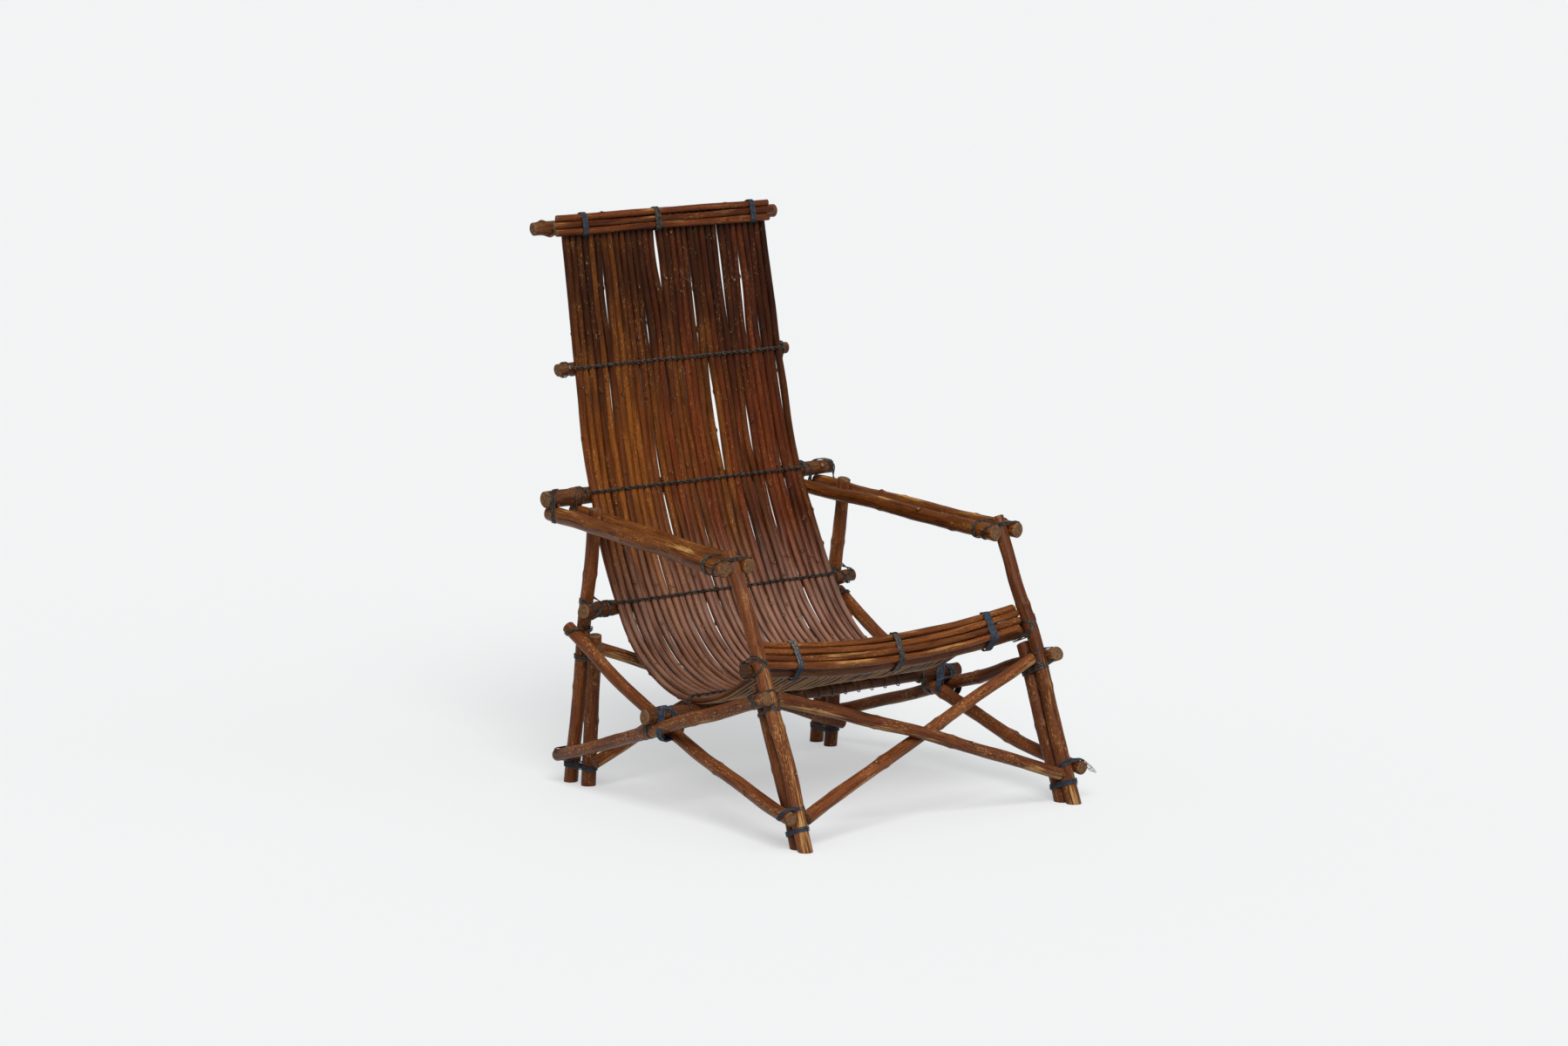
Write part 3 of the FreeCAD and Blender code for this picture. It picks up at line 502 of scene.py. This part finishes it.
def front_slope(x):
    return math.radians(26.0 + 4.90807 * (x / MAT_HALF) ** 2)


def slit_shift(x, z):
    shift = 0
    for middle, height, half, width in SLITS:
        if abs(z - height) < half * 2.5:
            beside = x - middle
            fade = math.exp(-((z - height) / half) ** 2) * math.exp(-abs(beside) / 0.035)
            shift += math.copysign(width / 2, beside) * fade
    return shift


def lean_out(x, z):
    """Above the upper bar the rods on the right stand a little further out."""
    return 0.011 * between(z, 0.74, 0.99) ** 1.3 * between(x, -0.06, 0.24)


def rod_way(x):
    """Line of one rod, from its top end to its front end, as a way and its length."""
    slope = front_slope(x)
    back = (BACK_TOP - BACK_FOOT.z) / math.sin(BACK_TURN)
    lumbar = LUMBAR_BEND * (BACK_TURN - LUMBAR_TURN)
    seat = SEAT_BEND * (LUMBAR_TURN + slope)
    forward = -uphill(-slope)
    seat_end = SEAT_CENTRE - outward(-slope) * SEAT_BEND
    run = (Vector((0, RAIL_Y, rail_height(x))) - seat_end).dot(forward) + ROD_OVERHANG
    total = back + lumbar + seat + run

    def place(t):
        s = t * total
        if s < back:
            point = BACK_FOOT + uphill(BACK_TURN) * (back - s)
        elif s < back + lumbar:
            turn = BACK_TURN - (s - back) / LUMBAR_BEND
            point = LUMBAR_CENTRE - outward(turn) * LUMBAR_BEND
        elif s < back + lumbar + seat:
            turn = LUMBAR_TURN - (s - back - lumbar) / SEAT_BEND
            point = SEAT_CENTRE - outward(turn) * SEAT_BEND
        else:
            point = seat_end + forward * (s - back - lumbar - seat)
        narrowing = math.tan(SPREAD * x / MAT_HALF) * (point.z - SEAT_LOW)
        aside = slit_shift(x, point.z) + lean_out(x, point.z)
        return Vector((x - narrowing + aside, point.y, point.z))

    return place, total


def rod_rub(t, out, place):
    behind = out.y * 0.9 - out.z * 0.6 if place.z > 0.30 else -out.z
    return 0.95 * max(0, behind - 0.15) + 0.18 * wobble(place.x * 40, place.z * 3, 1)


def rod_wear_and_painted_shade(place):
    # Lighter in a band round the middle of the back; from height 0.62 to 0.86 the rods grow
    # darker, which is painted shade on the upper back.
    worn_middle = 0.30 * math.exp(-((place.z - 0.58) / 0.14) ** 2) * (1.0 - 2.2 * place.x)
    return worn_middle - 0.34 * between(place.z, 0.62, 0.86) - 0.10


# Painted sheen on the seat rods: full below height 0.28 and gone by 0.44, strongest on crests that
# face up and forward.
def rod_painted_sheen(out, place):
    return between(-place.z, -0.44, -0.28) * max(0, out.z * 0.7 - out.y * 0.5 - 0.02) * 1.45


def seat_thinning(t):
    """Share by which a rod is thinner where it runs through the seat."""
    share = between(t, 0.52, 0.68)
    return 0.15 * share * share * (3 - 2 * share)


def rod_buds(length, seed):
    """Place along the rod, side and size of each bud."""
    buds = []
    for bud in range(BUD_COUNT):
        at = length * (bud + 0.5 + 0.8 * wobble(seed, bud * 3.1, 2)) / BUD_COUNT
        facing = 6 * wobble(seed, bud * 5.3, 8) + math.pi * bud
        buds.append((at, facing, 0.0042 + 0.0022 * wobble(seed, bud, 3)))
    return buds


for group in range(ROD_COUNT // GROUP_SIZE):
    bm = new_pole()
    for number in range(group * GROUP_SIZE, (group + 1) * GROUP_SIZE):
        x = number * ROD_PITCH - ROD_PITCH * (ROD_COUNT - 1) / 2
        seed = 100 + number * 1.37
        way, length = rod_way(x)
        stout = 0.0143 + 0.0012 * wobble(seed, 0.3, 4)
        thinning = 0.07 if number % 2 else -0.07

        def rod_thick(t):
            along = 0.93 + 0.07 * min(1, t * 2) - seat_thinning(t)
            return stout * along * (1 + thinning * (t - 0.5))

        before = len(bm.faces)
        grow(bm, way, rod_thick, seed, sides=12, step=0.0028, wander=0.0015,
             twigs=rod_buds(length, seed), rub=rod_rub, shade=rod_wear_and_painted_shade, painted_sheen_of=rod_painted_sheen)
        hue = wobble(seed * 2.3, 5.5, 0.7) - x * 2.2
        bm.faces.ensure_lookup_table()
        for face in bm.faces[before:]:
            if face.material_index == 0 and abs(hue) > 0.16:
                face.material_index = 2 if hue > 0 else 3
    hand_over(bm, "mat_rods_bark_%02d" % (group + 1),
              (rod_bark, sawn_end, golden_rod_bark, red_rod_bark), ["mat_rods_%02d" % (group + 1)])

# Edge rods: three across the top ends of the mat and five across its front ends.
# They are thinner shoots of uneven length, tied on in a bundle, with golden rubbed bark on top.
edge_bark = bark("edge_bark", (0.092, 0.025, 0.007), (0.294, 0.092, 0.022), (0.557, 0.298, 0.096),
                 wear=0.6, gloss=0.33)
top_edge_bark = bark("top_edge_bark", (0.047, 0.012, 0.004), (0.221, 0.058, 0.014),
                     (0.481, 0.259, 0.093), wear=0.6, gloss=0.33)


def rubbed_edge(t, out, place):
    patches = 0.30 + 0.5 * wobble(place.x * 12, place.z * 30, 8)
    return max(0, out.z) * patches + max(0, -out.y) * 0.2


# Top edge: depth, height, left end and right end of each rod
TOP_EDGE = (
    (0.3789, 1.0010, -0.240, 0.238),
    (0.3763, 0.9884, -0.2481, 0.2461),
    (0.3736, 0.9759, -0.244, 0.234),
)
for number, (y, z, left, right) in enumerate(TOP_EDGE, start=1):
    pole("top_edge_bark_%d" % number, "top_edge_rod_%d" % number, "edge_wood",
         (top_edge_bark, sawn_end), ((left, y, z), (right, y, z)),
         lambda t: 0.0126 + 0.0010 * math.sin(t * 5 + number), 200 + number, sides=12,
         wander=0.0009, lumps=0.07, sawn=(0.35, 0.2), rub=rubbed_edge,
         twigs=((0.1 * number, 1.7 * number, 0.004), (0.38, number, 0.004)))
# Front edge: left end, middle and right end of each rod
FRONT_EDGE = (
    ((-0.283, -0.2561, 0.3174), (0, -0.2600, 0.2986), (0.274, -0.2561, 0.3160)),
    ((-0.2866, -0.2702, 0.3204), (0, -0.2743, 0.2997), (0.2866, -0.2702, 0.3204)),
    ((-0.2835, -0.2772, 0.3095), (0, -0.2800, 0.2882), (0.2866, -0.2772, 0.3097)),
    ((-0.2866, -0.2841, 0.2989), (0, -0.2856, 0.2767), (0.281, -0.2841, 0.2985)),
    ((-0.2800, -0.2616, 0.3288), (0, -0.2666, 0.3100), (0.2866, -0.2614, 0.3297)),
)
for number, points in enumerate(FRONT_EDGE, start=1):
    pole("front_edge_bark_%d" % number, "front_edge_rod_%d" % number, "edge_wood",
         (edge_bark, sawn_end), points, lambda t: 0.0124 + 0.0010 * math.sin(t * 4 + number * 2),
         210 + number, sides=12, wander=0.0010, lumps=0.06, sawn=(0.3, 0.3), rub=rubbed_edge,
         twigs=((0.13 * number, 2.1 * number, 0.0035), (0.47, 3.3 * number, 0.0035)))

# Braces: crossing poles in both sides, in the front and in the rear stiffen the four legs.
# They are red-brown with long pale scuffs, and each pair touches where it crosses.
brace_bark = bark("brace_bark", (0.102, 0.029, 0.010), (0.281, 0.089, 0.027),
                  (0.574, 0.333, 0.130), wear=0.8, gloss=0.35)


def scuffed_brace(t, out, place):
    facing = max(0, -out.y * 0.3 - out.z * 0.35)
    patches = 0.7 + 0.7 * wobble(place.x * 7, place.y * 7, 3)
    return facing * patches + 0.3 * max(0, 0.15 - t)


# Node, both ends and the middle, thickness and seed
BRACES = [
    ("front_cross_brace_outer",
     ((-0.2854, -0.3126, 0.246), (0, -0.3619, 0.1532), (0.2854, -0.3906, 0.052)), 0.0228, 73),
    ("front_cross_brace_inner",
     ((-0.2854, -0.3906, 0.052), (0, -0.3412, 0.1448), (0.2854, -0.3126, 0.246)), 0.0225, 74),
    ("rear_cross_brace_outer",
     ((-0.2846, 0.1965, 0.256), (0, 0.1938, 0.1501), (0.2846, 0.2133, 0.046)), 0.0222, 75),
    ("rear_cross_brace_inner",
     ((-0.2846, 0.2127, 0.046), (0, 0.2160, 0.1519), (0.2846, 0.1959, 0.256)), 0.0222, 76),
]
FALLING = ((0.327, -0.4023, 0.058), (0.3042, -0.0619, 0.1403), (0.308, 0.2564, 0.288))
RISING = ((0.3254, -0.3351, 0.254), (0.3264, -0.0213, 0.1487), (0.3064, 0.2941, 0.05))
for side, sign in SIDES:
    for name, points, seed in (("falling", FALLING, 77), ("rising", RISING, 82)):
        own_points = [(sign * x, y, z) for x, y, z in points]
        BRACES.append(("%s_side_brace_%s" % (name, side), own_points, 0.0235, seed + sign))
for node, points, thick, seed in BRACES:
    pole(node + "_bark", node, "leg_wood", (brace_bark, sawn_end), points,
         tapered(1.05 * thick, 0.1 * thick), seed, wander=0.0022, lumps=0.06, rub=scuffed_brace,
         twigs=((0.11 + 0.02 * (seed % 5), seed * 1.3, 0.006), (0.40, seed * 2.7, 0.006)),
         rings=(0.17 + 0.01 * (seed % 7), 0.36))

# Lashings: dark binding wire, wound several times round poles that lie side by side or cross,
# pulled tight by hand, so that no two turns lie quite alike. The frame stands by these alone.
TURN_STEPS = 28
WIRE, BLUE, PALE = range(3)


def wire_finish(name, dark, light, metallic, rough):
    material, nodes, links, shader = new_material(name)
    place = nodes.new("ShaderNodeTexCoord")
    stain = nodes.new("ShaderNodeTexNoise")
    set_inputs(stain, Scale=240, Detail=4)
    links.new(place.outputs["Object"], stain.inputs["Vector"])
    two_tones(nodes, links, shader, stain.outputs["Fac"], 0.42, 0.72, dark, light)
    raised(nodes, links, shader, stain.outputs["Fac"], 0.4, 0.0006)
    set_inputs(shader, Metallic=metallic, Roughness=rough)
    return material


WIRES = (
    wire_finish("binding_wire", (0.016, 0.013, 0.011), (0.115, 0.092, 0.070), 0.30, 0.42),
    wire_finish("blue_cord", (0.010, 0.014, 0.024), (0.050, 0.070, 0.105), 0.0, 0.7),
    wire_finish("pale_cord", (0.050, 0.042, 0.034), (0.30, 0.27, 0.23), 0.0, 0.75),
)


def lay_wire(bm, path, thick, finish=WIRE):
    """A round wire along a row of points, added to a mesh of wires."""
    line = bpy.data.curves.new("wire", "CURVE")
    line.dimensions = "3D"
    line.bevel_depth = thick / 2
    line.bevel_resolution = 1
    line.use_fill_caps = True
    strand = line.splines.new("POLY")
    strand.points.add(len(path) - 1)
    for point, place in zip(strand.points, path):
        point.co = (*place, 1)
    holder = bpy.data.objects.new("wire", line)
    mesh = bpy.data.meshes.new_from_object(holder)
    before = len(bm.faces)
    bm.from_mesh(mesh)
    bm.faces.ensure_lookup_table()
    for face in bm.faces[before:]:
        face.material_index = finish
    bpy.data.objects.remove(holder)
    bpy.data.curves.remove(line)
    bpy.data.meshes.remove(mesh)


def bind(bm, place, across, along, rounds, turns, pitch, thick, seed, finish=WIRE, waist=None):
    """Wind a wire round ovals and give back its points.

    Each oval is (across, along, half across, half along) and may lean along the winding."""
    place, across, along = Vector(place), Vector(across).normalized(), Vector(along).normalized()
    axis = across.cross(along)
    path = []
    for count in range(int(turns * TURN_STEPS) + 1):
        turn = count / TURN_STEPS
        angle = math.tau * turn + seed
        cos, sin = math.cos(angle), math.sin(angle)
        offset = pitch * (turn - turns / 2) + 0.35 * pitch * wobble(seed, turn * 2.3, 1.7)
        slack = thick / 2 + 0.0004 + 0.0005 * wobble(seed, turn * 3.1, 6.2)
        best = None
        for a, b, half_a, half_b, *lean in rounds:
            a, half_a, half_b = a + offset * sum(lean), half_a + slack, half_b + slack
            reach = math.hypot(half_a * cos, half_b * sin)
            support = a * cos + b * sin + reach
            if best is None or support > best[0]:
                best = (support, a + half_a ** 2 * cos / reach, b + half_b ** 2 * sin / reach)
        drawn = offset if waist is None else offset * waist(angle)
        path.append(place + across * best[1] + along * best[2] + axis * drawn)
    lay_wire(bm, path, thick, finish)
    return path


def crossed(bm, first, second, way_a, way_b, r_a, r_b, turns, seed,
            thick=0.002, pitch=0.0024, finish=WIRE):
    """Wire on both diagonals round two poles that cross."""
    first, second = Vector(first), Vector(second)
    through = second - first
    way_a, way_b = Vector(way_a).normalized(), Vector(way_b).normalized()
    for number, flip in enumerate((1, -1)):
        if not turns[number]:
            continue
        diagonal = (way_a + way_b * flip).normalized()
        axis = diagonal.cross(through.normalized())
        half = way_a.angle(way_b * flip) / 2
        lean_a, lean_b = (way.dot(diagonal) / way.dot(axis) for way in (way_a, way_b))
        rounds = ((0, 0, r_a / math.sin(half), r_a, lean_a),
                  (0, through.length, r_b / math.sin(half), r_b, lean_b))
        bind(bm, first, diagonal, through, rounds, turns[number], pitch, thick, seed + number,
             finish)


def front_post_at(z):
    """Place of the front post's middle in the side view, its lean and the direction behind it."""
    y = -0.4092 + 0.3594 * z + 0.1655 * z * z
    up = Vector((0, 0.3594 + 0.331 * z, 1)).normalized()
    return y, up, Vector((0, up.z, -up.y))


REAR_UP = (0, -0.158, 1)
ACROSS = (1, 0, 0)

bm = bmesh.new()
for sign in (-1, 1):
    x = sign * FRONT_X
    y, up, back = front_post_at(0.035)
    pair = ((0, 0, 0.0131, 0.0131), (0.0249, -sign * LEG_INSET, 0.0131, 0.0131))
    bind(bm, (x, y, 0.035), back, ACROSS, pair, 4, 0.0023, 0.0021, 1 + sign, BLUE)
    y, up, back = front_post_at(0.062)
    crossed(bm, (x, y, 0.062), (sign * 0.3265, y, 0.0625), up, (0, 1, 0.16), 0.0131, 0.0119,
            (0, 4), 2 + sign, 0.0019, 0.0021, BLUE)
for count in range(5):
    start = Vector((FRONT_X + 0.038, -0.388 - 0.003 * count, 0.064))
    away = Vector((0.016, -0.020 + 0.006 * count, -0.014 + 0.012 * wobble(count, 3.3, 1)))
    loose = [start + away * t + Vector((0, 0, 0.006 * math.sin(3 * t + count)))
             for t in (0, 0.25, 0.5, 0.75, 1)]
    lay_wire(bm, loose, 0.0010, PALE)
hand_over(bm, "front_foot_wire", WIRES, ["front_foot_lashings"])

bm = bmesh.new()
for sign in (-1, 1):
    x = sign * REAR_X
    pair = ((0, 0, 0.0132, 0.0131), (-0.0438, -sign * LEG_INSET, 0.0133, 0.0133))
    bind(bm, (x, 0.2827, 0.033), (0, 1, 0), ACROSS, pair, 4, 0.0023, 0.0021, 5 + sign, BLUE)
    crossed(bm, (x, 0.2803, 0.052), (sign * 0.3066, 0.2803, 0.0545), REAR_UP, (0, 1, -0.32),
            0.013, 0.0117, (3, 0), 6 + sign, 0.0019, 0.0021)
hand_over(bm, "rear_foot_wire", WIRES, ["rear_foot_lashings"])

bm = bmesh.new()
for sign in (-1, 1):
    x = sign * FRONT_X
    y, up, back = front_post_at(0.228)
    pair = ((0, 0, 0.0128, 0.0128), (0.0249, -sign * LEG_INSET, 0.0129, 0.0129))
    bind(bm, (x, y, 0.228), back, ACROSS, pair, 3.5, 0.0022, 0.0019, 8 + sign)
    y, up, back = front_post_at(0.2465)
    crossed(bm, (x, y, 0.2465), (sign * 0.3255, y, 0.2465), up, (0, 1, -0.336), 0.0127, 0.0118,
            (4, 2), 9 + sign, 0.0018, 0.0020)
hand_over(bm, "front_joint_wire", WIRES, ["front_joint_lashings"])

bm = bmesh.new()
for sign in (-1, 1):
    x = sign * REAR_X
    pair = ((0, 0, 0.0129, 0.0127), (-0.0287, -sign * LEG_INSET, 0.0128, 0.0128))
    bind(bm, (x, 0.2509, 0.234), (0, 1, 0), ACROSS, pair, 3.5, 0.0022, 0.0019, 12 + sign)
    crossed(bm, (x, 0.2436, 0.2805), (sign * 0.3072, 0.2436, 0.2815), REAR_UP, (0, 1, 0.42),
            0.0127, 0.0118, (0, 3), 13 + sign, 0.0018, 0.0020)
hand_over(bm, "rear_joint_wire", WIRES, ["rear_joint_lashings"])

bm = bmesh.new()
for sign in (-1, 1):
    x = sign * REAR_X
    crossed(bm, (x, *BAR_AT["lumbar_bar"]), (x, 0.2364, 0.326), (sign, 0, 0),
            (0, -0.1564, 0.9877), 0.0126, 0.0127, (3, 2), 15 + sign)
hand_over(bm, "lumbar_wire", WIRES, ["lumbar_lashings"])

bm = bmesh.new()
for sign in (-1, 1):
    x = sign * FRONT_X
    y, up, back = front_post_at(0.2985)
    crossed(bm, (x, y, 0.2985), (x, RAIL_Y, 0.288), up, (sign * 0.99, 0, 0.144), 0.0127,
            0.0147, (3, 2), 18 + sign)
hand_over(bm, "front_rail_wire", WIRES, ["front_rail_lashings"])

bm = bmesh.new()
for sign in (-1, 1):
    outer_r, inner_r = 0.0158 if sign < 0 else 0.0142, 0.0141
    arms = ((-0.0258, 0, inner_r, inner_r), (0.0258, 0, outer_r, outer_r))
    upright = Vector((0, 1, 0.049)).cross(Vector((sign, 0, 0)))
    bind(bm, (sign * 0.3003, -0.1816, 0.4614), (sign, 0, 0), upright, arms, 4, 0.0022, 0.0019,
         21 + sign)
    for x, arm_r in ((0.3274, outer_r), (0.2758, inner_r)):
        crossed(bm, (sign * FRONT_X, -0.2086, 0.460), (sign * x, -0.2086, 0.460), (0, 0.42, 0.9),
                (0, 1, 0.05), 0.0125, arm_r, (0, 2.5), 22 + sign + x, 0.0018, 0.0020)
hand_over(bm, "arm_front_wire", WIRES, ["arm_front_lashings"])

bm = bmesh.new()
for sign in (-1, 1):
    for x, arm_r, turns, seed, thick, pitch in ((0.3043, 0.0140, 4, 25, 0.0020, 0.0021),
                                                (0.2527, 0.0130, 2, 28, 0.0018, 0.0024)):
        x = sign * x
        crossed(bm, (x, 0.3007, 0.485), (x, *BAR_AT["arm_bar"]), (sign * 0.045, -1, -0.05),
                (sign, 0, 0), arm_r, 0.0146 - sign * 0.0006, (turns, 0), seed + sign, thick, pitch)
hand_over(bm, "arm_rear_wire", WIRES, ["arm_rear_lashings"])

BRACE_PAIR = ((-0.0112, 0.0015, 0.0124, 0.0145), (0.0112, -0.0015, 0.0124, 0.0145))
bm = bmesh.new()
for sign in (-1, 1):
    x = sign * 0.3153
    for y, z, turns, finish in ((-0.0515, 0.1525, 6, BLUE), (-0.0105, 0.15126, 4, WIRE)):
        bind(bm, (x, y, z), (sign, 0, 0), (0, 0, 1), BRACE_PAIR, turns, 0.0024, 0.0025, 31 + sign,
             finish)
    crossed(bm, (x, -0.0309, 0.1525), (x, *BAR_AT["seat_bar"]), (0, 1, 0), ACROSS, 0.0155,
            0.0129, (5, 4), 33 + sign, 0.0025, finish=BLUE)
hand_over(bm, "side_crossing_wire", WIRES, ["side_crossing_lashings"])

# Edge lashings: cord and wire tie the edge rods to the mat at three places on each edge.
# The outer ones are dark blue cord, of which one is frayed pale, and the middle ones thin wire.


def fanned(angle):
    """Width of a band at an angle round the bundle: drawn together behind, spread in front."""
    return 0.30 + 0.70 * between(1.0 + 1.6 * math.cos(angle), 0, 1)


TOP_CONTACT = (0.38778, 0.986)
# Across, along and both half widths of each rod and bar in the bundle
top_bundle = [(0.01175, step * 0.0127, 0.0069, 0.0069) for step in (1, 0, -1)]
top_bundle.append((-0.0175, 0, 0.0128, 0.0128))
bm = bmesh.new()
for x, turns, pitch, finish in ((-0.1830, 6, 0.0019, BLUE), (-0.0203, 7, 0.0017, WIRE),
                                (0.1966, 6, 0.0019, BLUE)):
    bind(bm, (x, *TOP_CONTACT), outward(BACK_TURN), uphill(BACK_TURN), top_bundle, turns, pitch,
         0.0018, 40 + x, finish, fanned)
hand_over(bm, "top_edge_cord", WIRES, ["top_edge_lashings"])

BUNDLE_PLACES = ((0.0098, 0.0321), (0.0229, 0.0262), (0.0229, 0.0134), (0.0229, 0.0006),
                 (0.0207, 0.0388))
front_bundle = [(reach, lift, 0.0067, 0.0067) for reach, lift in BUNDLE_PLACES]
front_bundle.append((0, 0, 0.0148, 0.0148))
bm = bmesh.new()
for x, turns, pitch, finish, frayed in ((-0.2175, 7, 0.0017, BLUE, True),
                                        (0.0075, 8, 0.0016, WIRE, False),
                                        (0.2175, 10, 0.0016, BLUE, False)):
    slope = front_slope(x)
    band = bind(bm, (x, RAIL_Y, rail_height(x)), -uphill(-slope), outward(-slope), front_bundle,
                turns, pitch, 0.0019, 44 + x, finish, fanned)
    for turn in range(turns if frayed else 0):
        start = TURN_STEPS * turn
        lay_wire(bm, band[start + 2 - turn % 3:start + 10], 0.0024, PALE)
hand_over(bm, "front_edge_cord", WIRES, ["front_edge_lashings"])

# Lacing: a wire goes over each rod and round the bar behind it, all the way across,
# and two strands twisted together run along the row in front and hold the rods down.
# Node, depth and height of the row, slope, radius of the bar, how far behind it lies, rod's front
LACINGS = (
    ("upper_lacing", 0.33485, 0.737, 78.0, 0.0113, 0.01625, 0.0072),
    ("arm_lacing", 0.28218, 0.519, 71.6, 0.0143, 0.01925, 0.0074),
    ("lumbar_lacing", 0.19727, 0.331, 59.8, 0.0123, 0.01725, 0.0071),
    ("seat_lacing", -0.03003, 0.1943, -2.9, 0.0123, 0.01750, 0.0066),
)
STRAND_STEPS = 400
TAIL_STEPS = 40
for node, depth, height, angle, bar_r, bar_back, front in LACINGS:
    slope = math.radians(angle)
    half_row = MAT_HALF - math.tan(SPREAD) * (height - SEAT_LOW)
    pitch = half_row * 2 / (ROD_COUNT - 1)

    def on_row(x, away, rise):
        """Place by the row of rods: across the chair, out from the rods and up along them."""
        return Vector((x, depth, height)) + outward(slope) * away + uphill(slope) * rise

    bm = bmesh.new()
    path = []
    for half_turn in range(ROD_COUNT - 2):
        x = (half_turn - (ROD_COUNT - 2) / 2) * pitch
        if half_turn % 2 == 0:
            for step in range(9):
                t = step / 8
                bow = front + 0.0007 - 0.0075 * (2 * t - 1) ** 4
                path.append(on_row(x + pitch * t, bow, 0.003 * math.cos(t * math.pi)))
        else:
            r = bar_r + 0.0016
            for step in range(13):
                t = step / 12
                turn = math.pi * t
                behind = -bar_back - r * math.sin(turn)
                path.append(on_row(x + pitch * t, behind, -r * math.cos(turn)))
    lay_wire(bm, path, 0.0021)
    for strand in (0, math.pi):
        path = []
        for step in range(STRAND_STEPS + 1):
            x = (half_row + 0.012) * (2 * step / STRAND_STEPS - 1)
            rods_passed = x / pitch * math.pi
            twist = strand + rods_passed
            sway = 0.0016 * wobble(x * 22, height * 9, 4)
            lift = front + 0.0006 + 0.0008 * abs(math.cos(rods_passed)) + 0.0014 * math.sin(twist)
            path.append(on_row(x, lift, 0.0019 * math.cos(twist) + sway))
        tails = []
        for end in (path[0], path[-1]):
            tail = []
            r = bar_r + 0.0020
            for step in range(1, TAIL_STEPS):
                turn = step / TAIL_STEPS * math.tau * 1.7 + (0 if strand else 0.6)
                x = end.x + math.copysign(0.004 + step * 0.00022, end.x)
                tail.append(on_row(x, r * math.cos(turn) - bar_back, r * math.sin(turn)))
            tails.append(tail)
        lay_wire(bm, tails[0][::-1] + path + tails[1], 0.0025)
    hand_over(bm, node + "_wire", WIRES, [node])

# Studio: a plain pale floor, one large soft sun from the upper left and a weak low fill.
# The camera stands far in front, on the sitter's right, and looks a little down on the chair.
floor_mesh = bpy.data.meshes.new("floor")
bm = bmesh.new()
bmesh.ops.create_grid(bm, x_segments=1, y_segments=1, size=30)
bm.to_mesh(floor_mesh)
bm.free()
floor = bpy.data.objects.new("floor", floor_mesh)
bpy.context.collection.objects.link(floor)
paper, nodes, links, shader = new_material("pale_paper")
set_inputs(shader, Base_Color=(0.52, 0.525, 0.52, 1), Roughness=0.9,
           Emission_Color=(0.42, 0.425, 0.43, 1))
seen = nodes.new("ShaderNodeLightPath")
straight, bounced = nodes.new("ShaderNodeMath"), nodes.new("ShaderNodeMath")
straight.operation = bounced.operation = "MAXIMUM"
links.new(seen.outputs["Is Camera Ray"], straight.inputs[0])
links.new(seen.outputs["Is Glossy Ray"], bounced.inputs[0])
links.new(seen.outputs["Is Transmission Ray"], bounced.inputs[1])
links.new(bounced.outputs[0], straight.inputs[1])
links.new(straight.outputs[0], shader.inputs["Emission Strength"])
floor_mesh.materials.append(paper)

world = bpy.data.worlds.new("studio")
bpy.context.scene.world = world
world.use_nodes = True
set_inputs(world.node_tree.nodes["Background"], Color=(0.80, 0.82, 0.84, 1), Strength=0.38)
# Name, turn, strength and width of each sun, in degrees
SUNS = (("soft_key", (34, -26, 0), 2.3, 36), ("low_fill", (62, 34, 0), 0.40, 70))
for name, turn, strength, softness in SUNS:
    lamp = bpy.data.lights.new(name, "SUN")
    lamp.energy = strength
    lamp.angle = math.radians(softness)
    holder = bpy.data.objects.new(name, lamp)
    holder.rotation_euler = [math.radians(angle) for angle in turn]
    bpy.context.collection.objects.link(holder)

SENSOR_WIDTH = 36
PICTURE_WIDTH = 1799
FOCAL_PIXELS = 5652
lens = bpy.data.cameras.new("camera")
lens.sensor_fit = "HORIZONTAL"
lens.sensor_width = SENSOR_WIDTH
lens.lens = SENSOR_WIDTH * FOCAL_PIXELS / PICTURE_WIDTH
lens.clip_end = 200
camera = bpy.data.objects.new("camera", lens)
camera.location = (-5.3507, -6.7193, 1.8851)
camera.rotation_euler = (math.radians(90 - 9.31), 0, math.radians(-38.41))
bpy.context.collection.objects.link(camera)
bpy.context.scene.camera = camera
bpy.context.scene.view_settings.view_transform = "Standard"
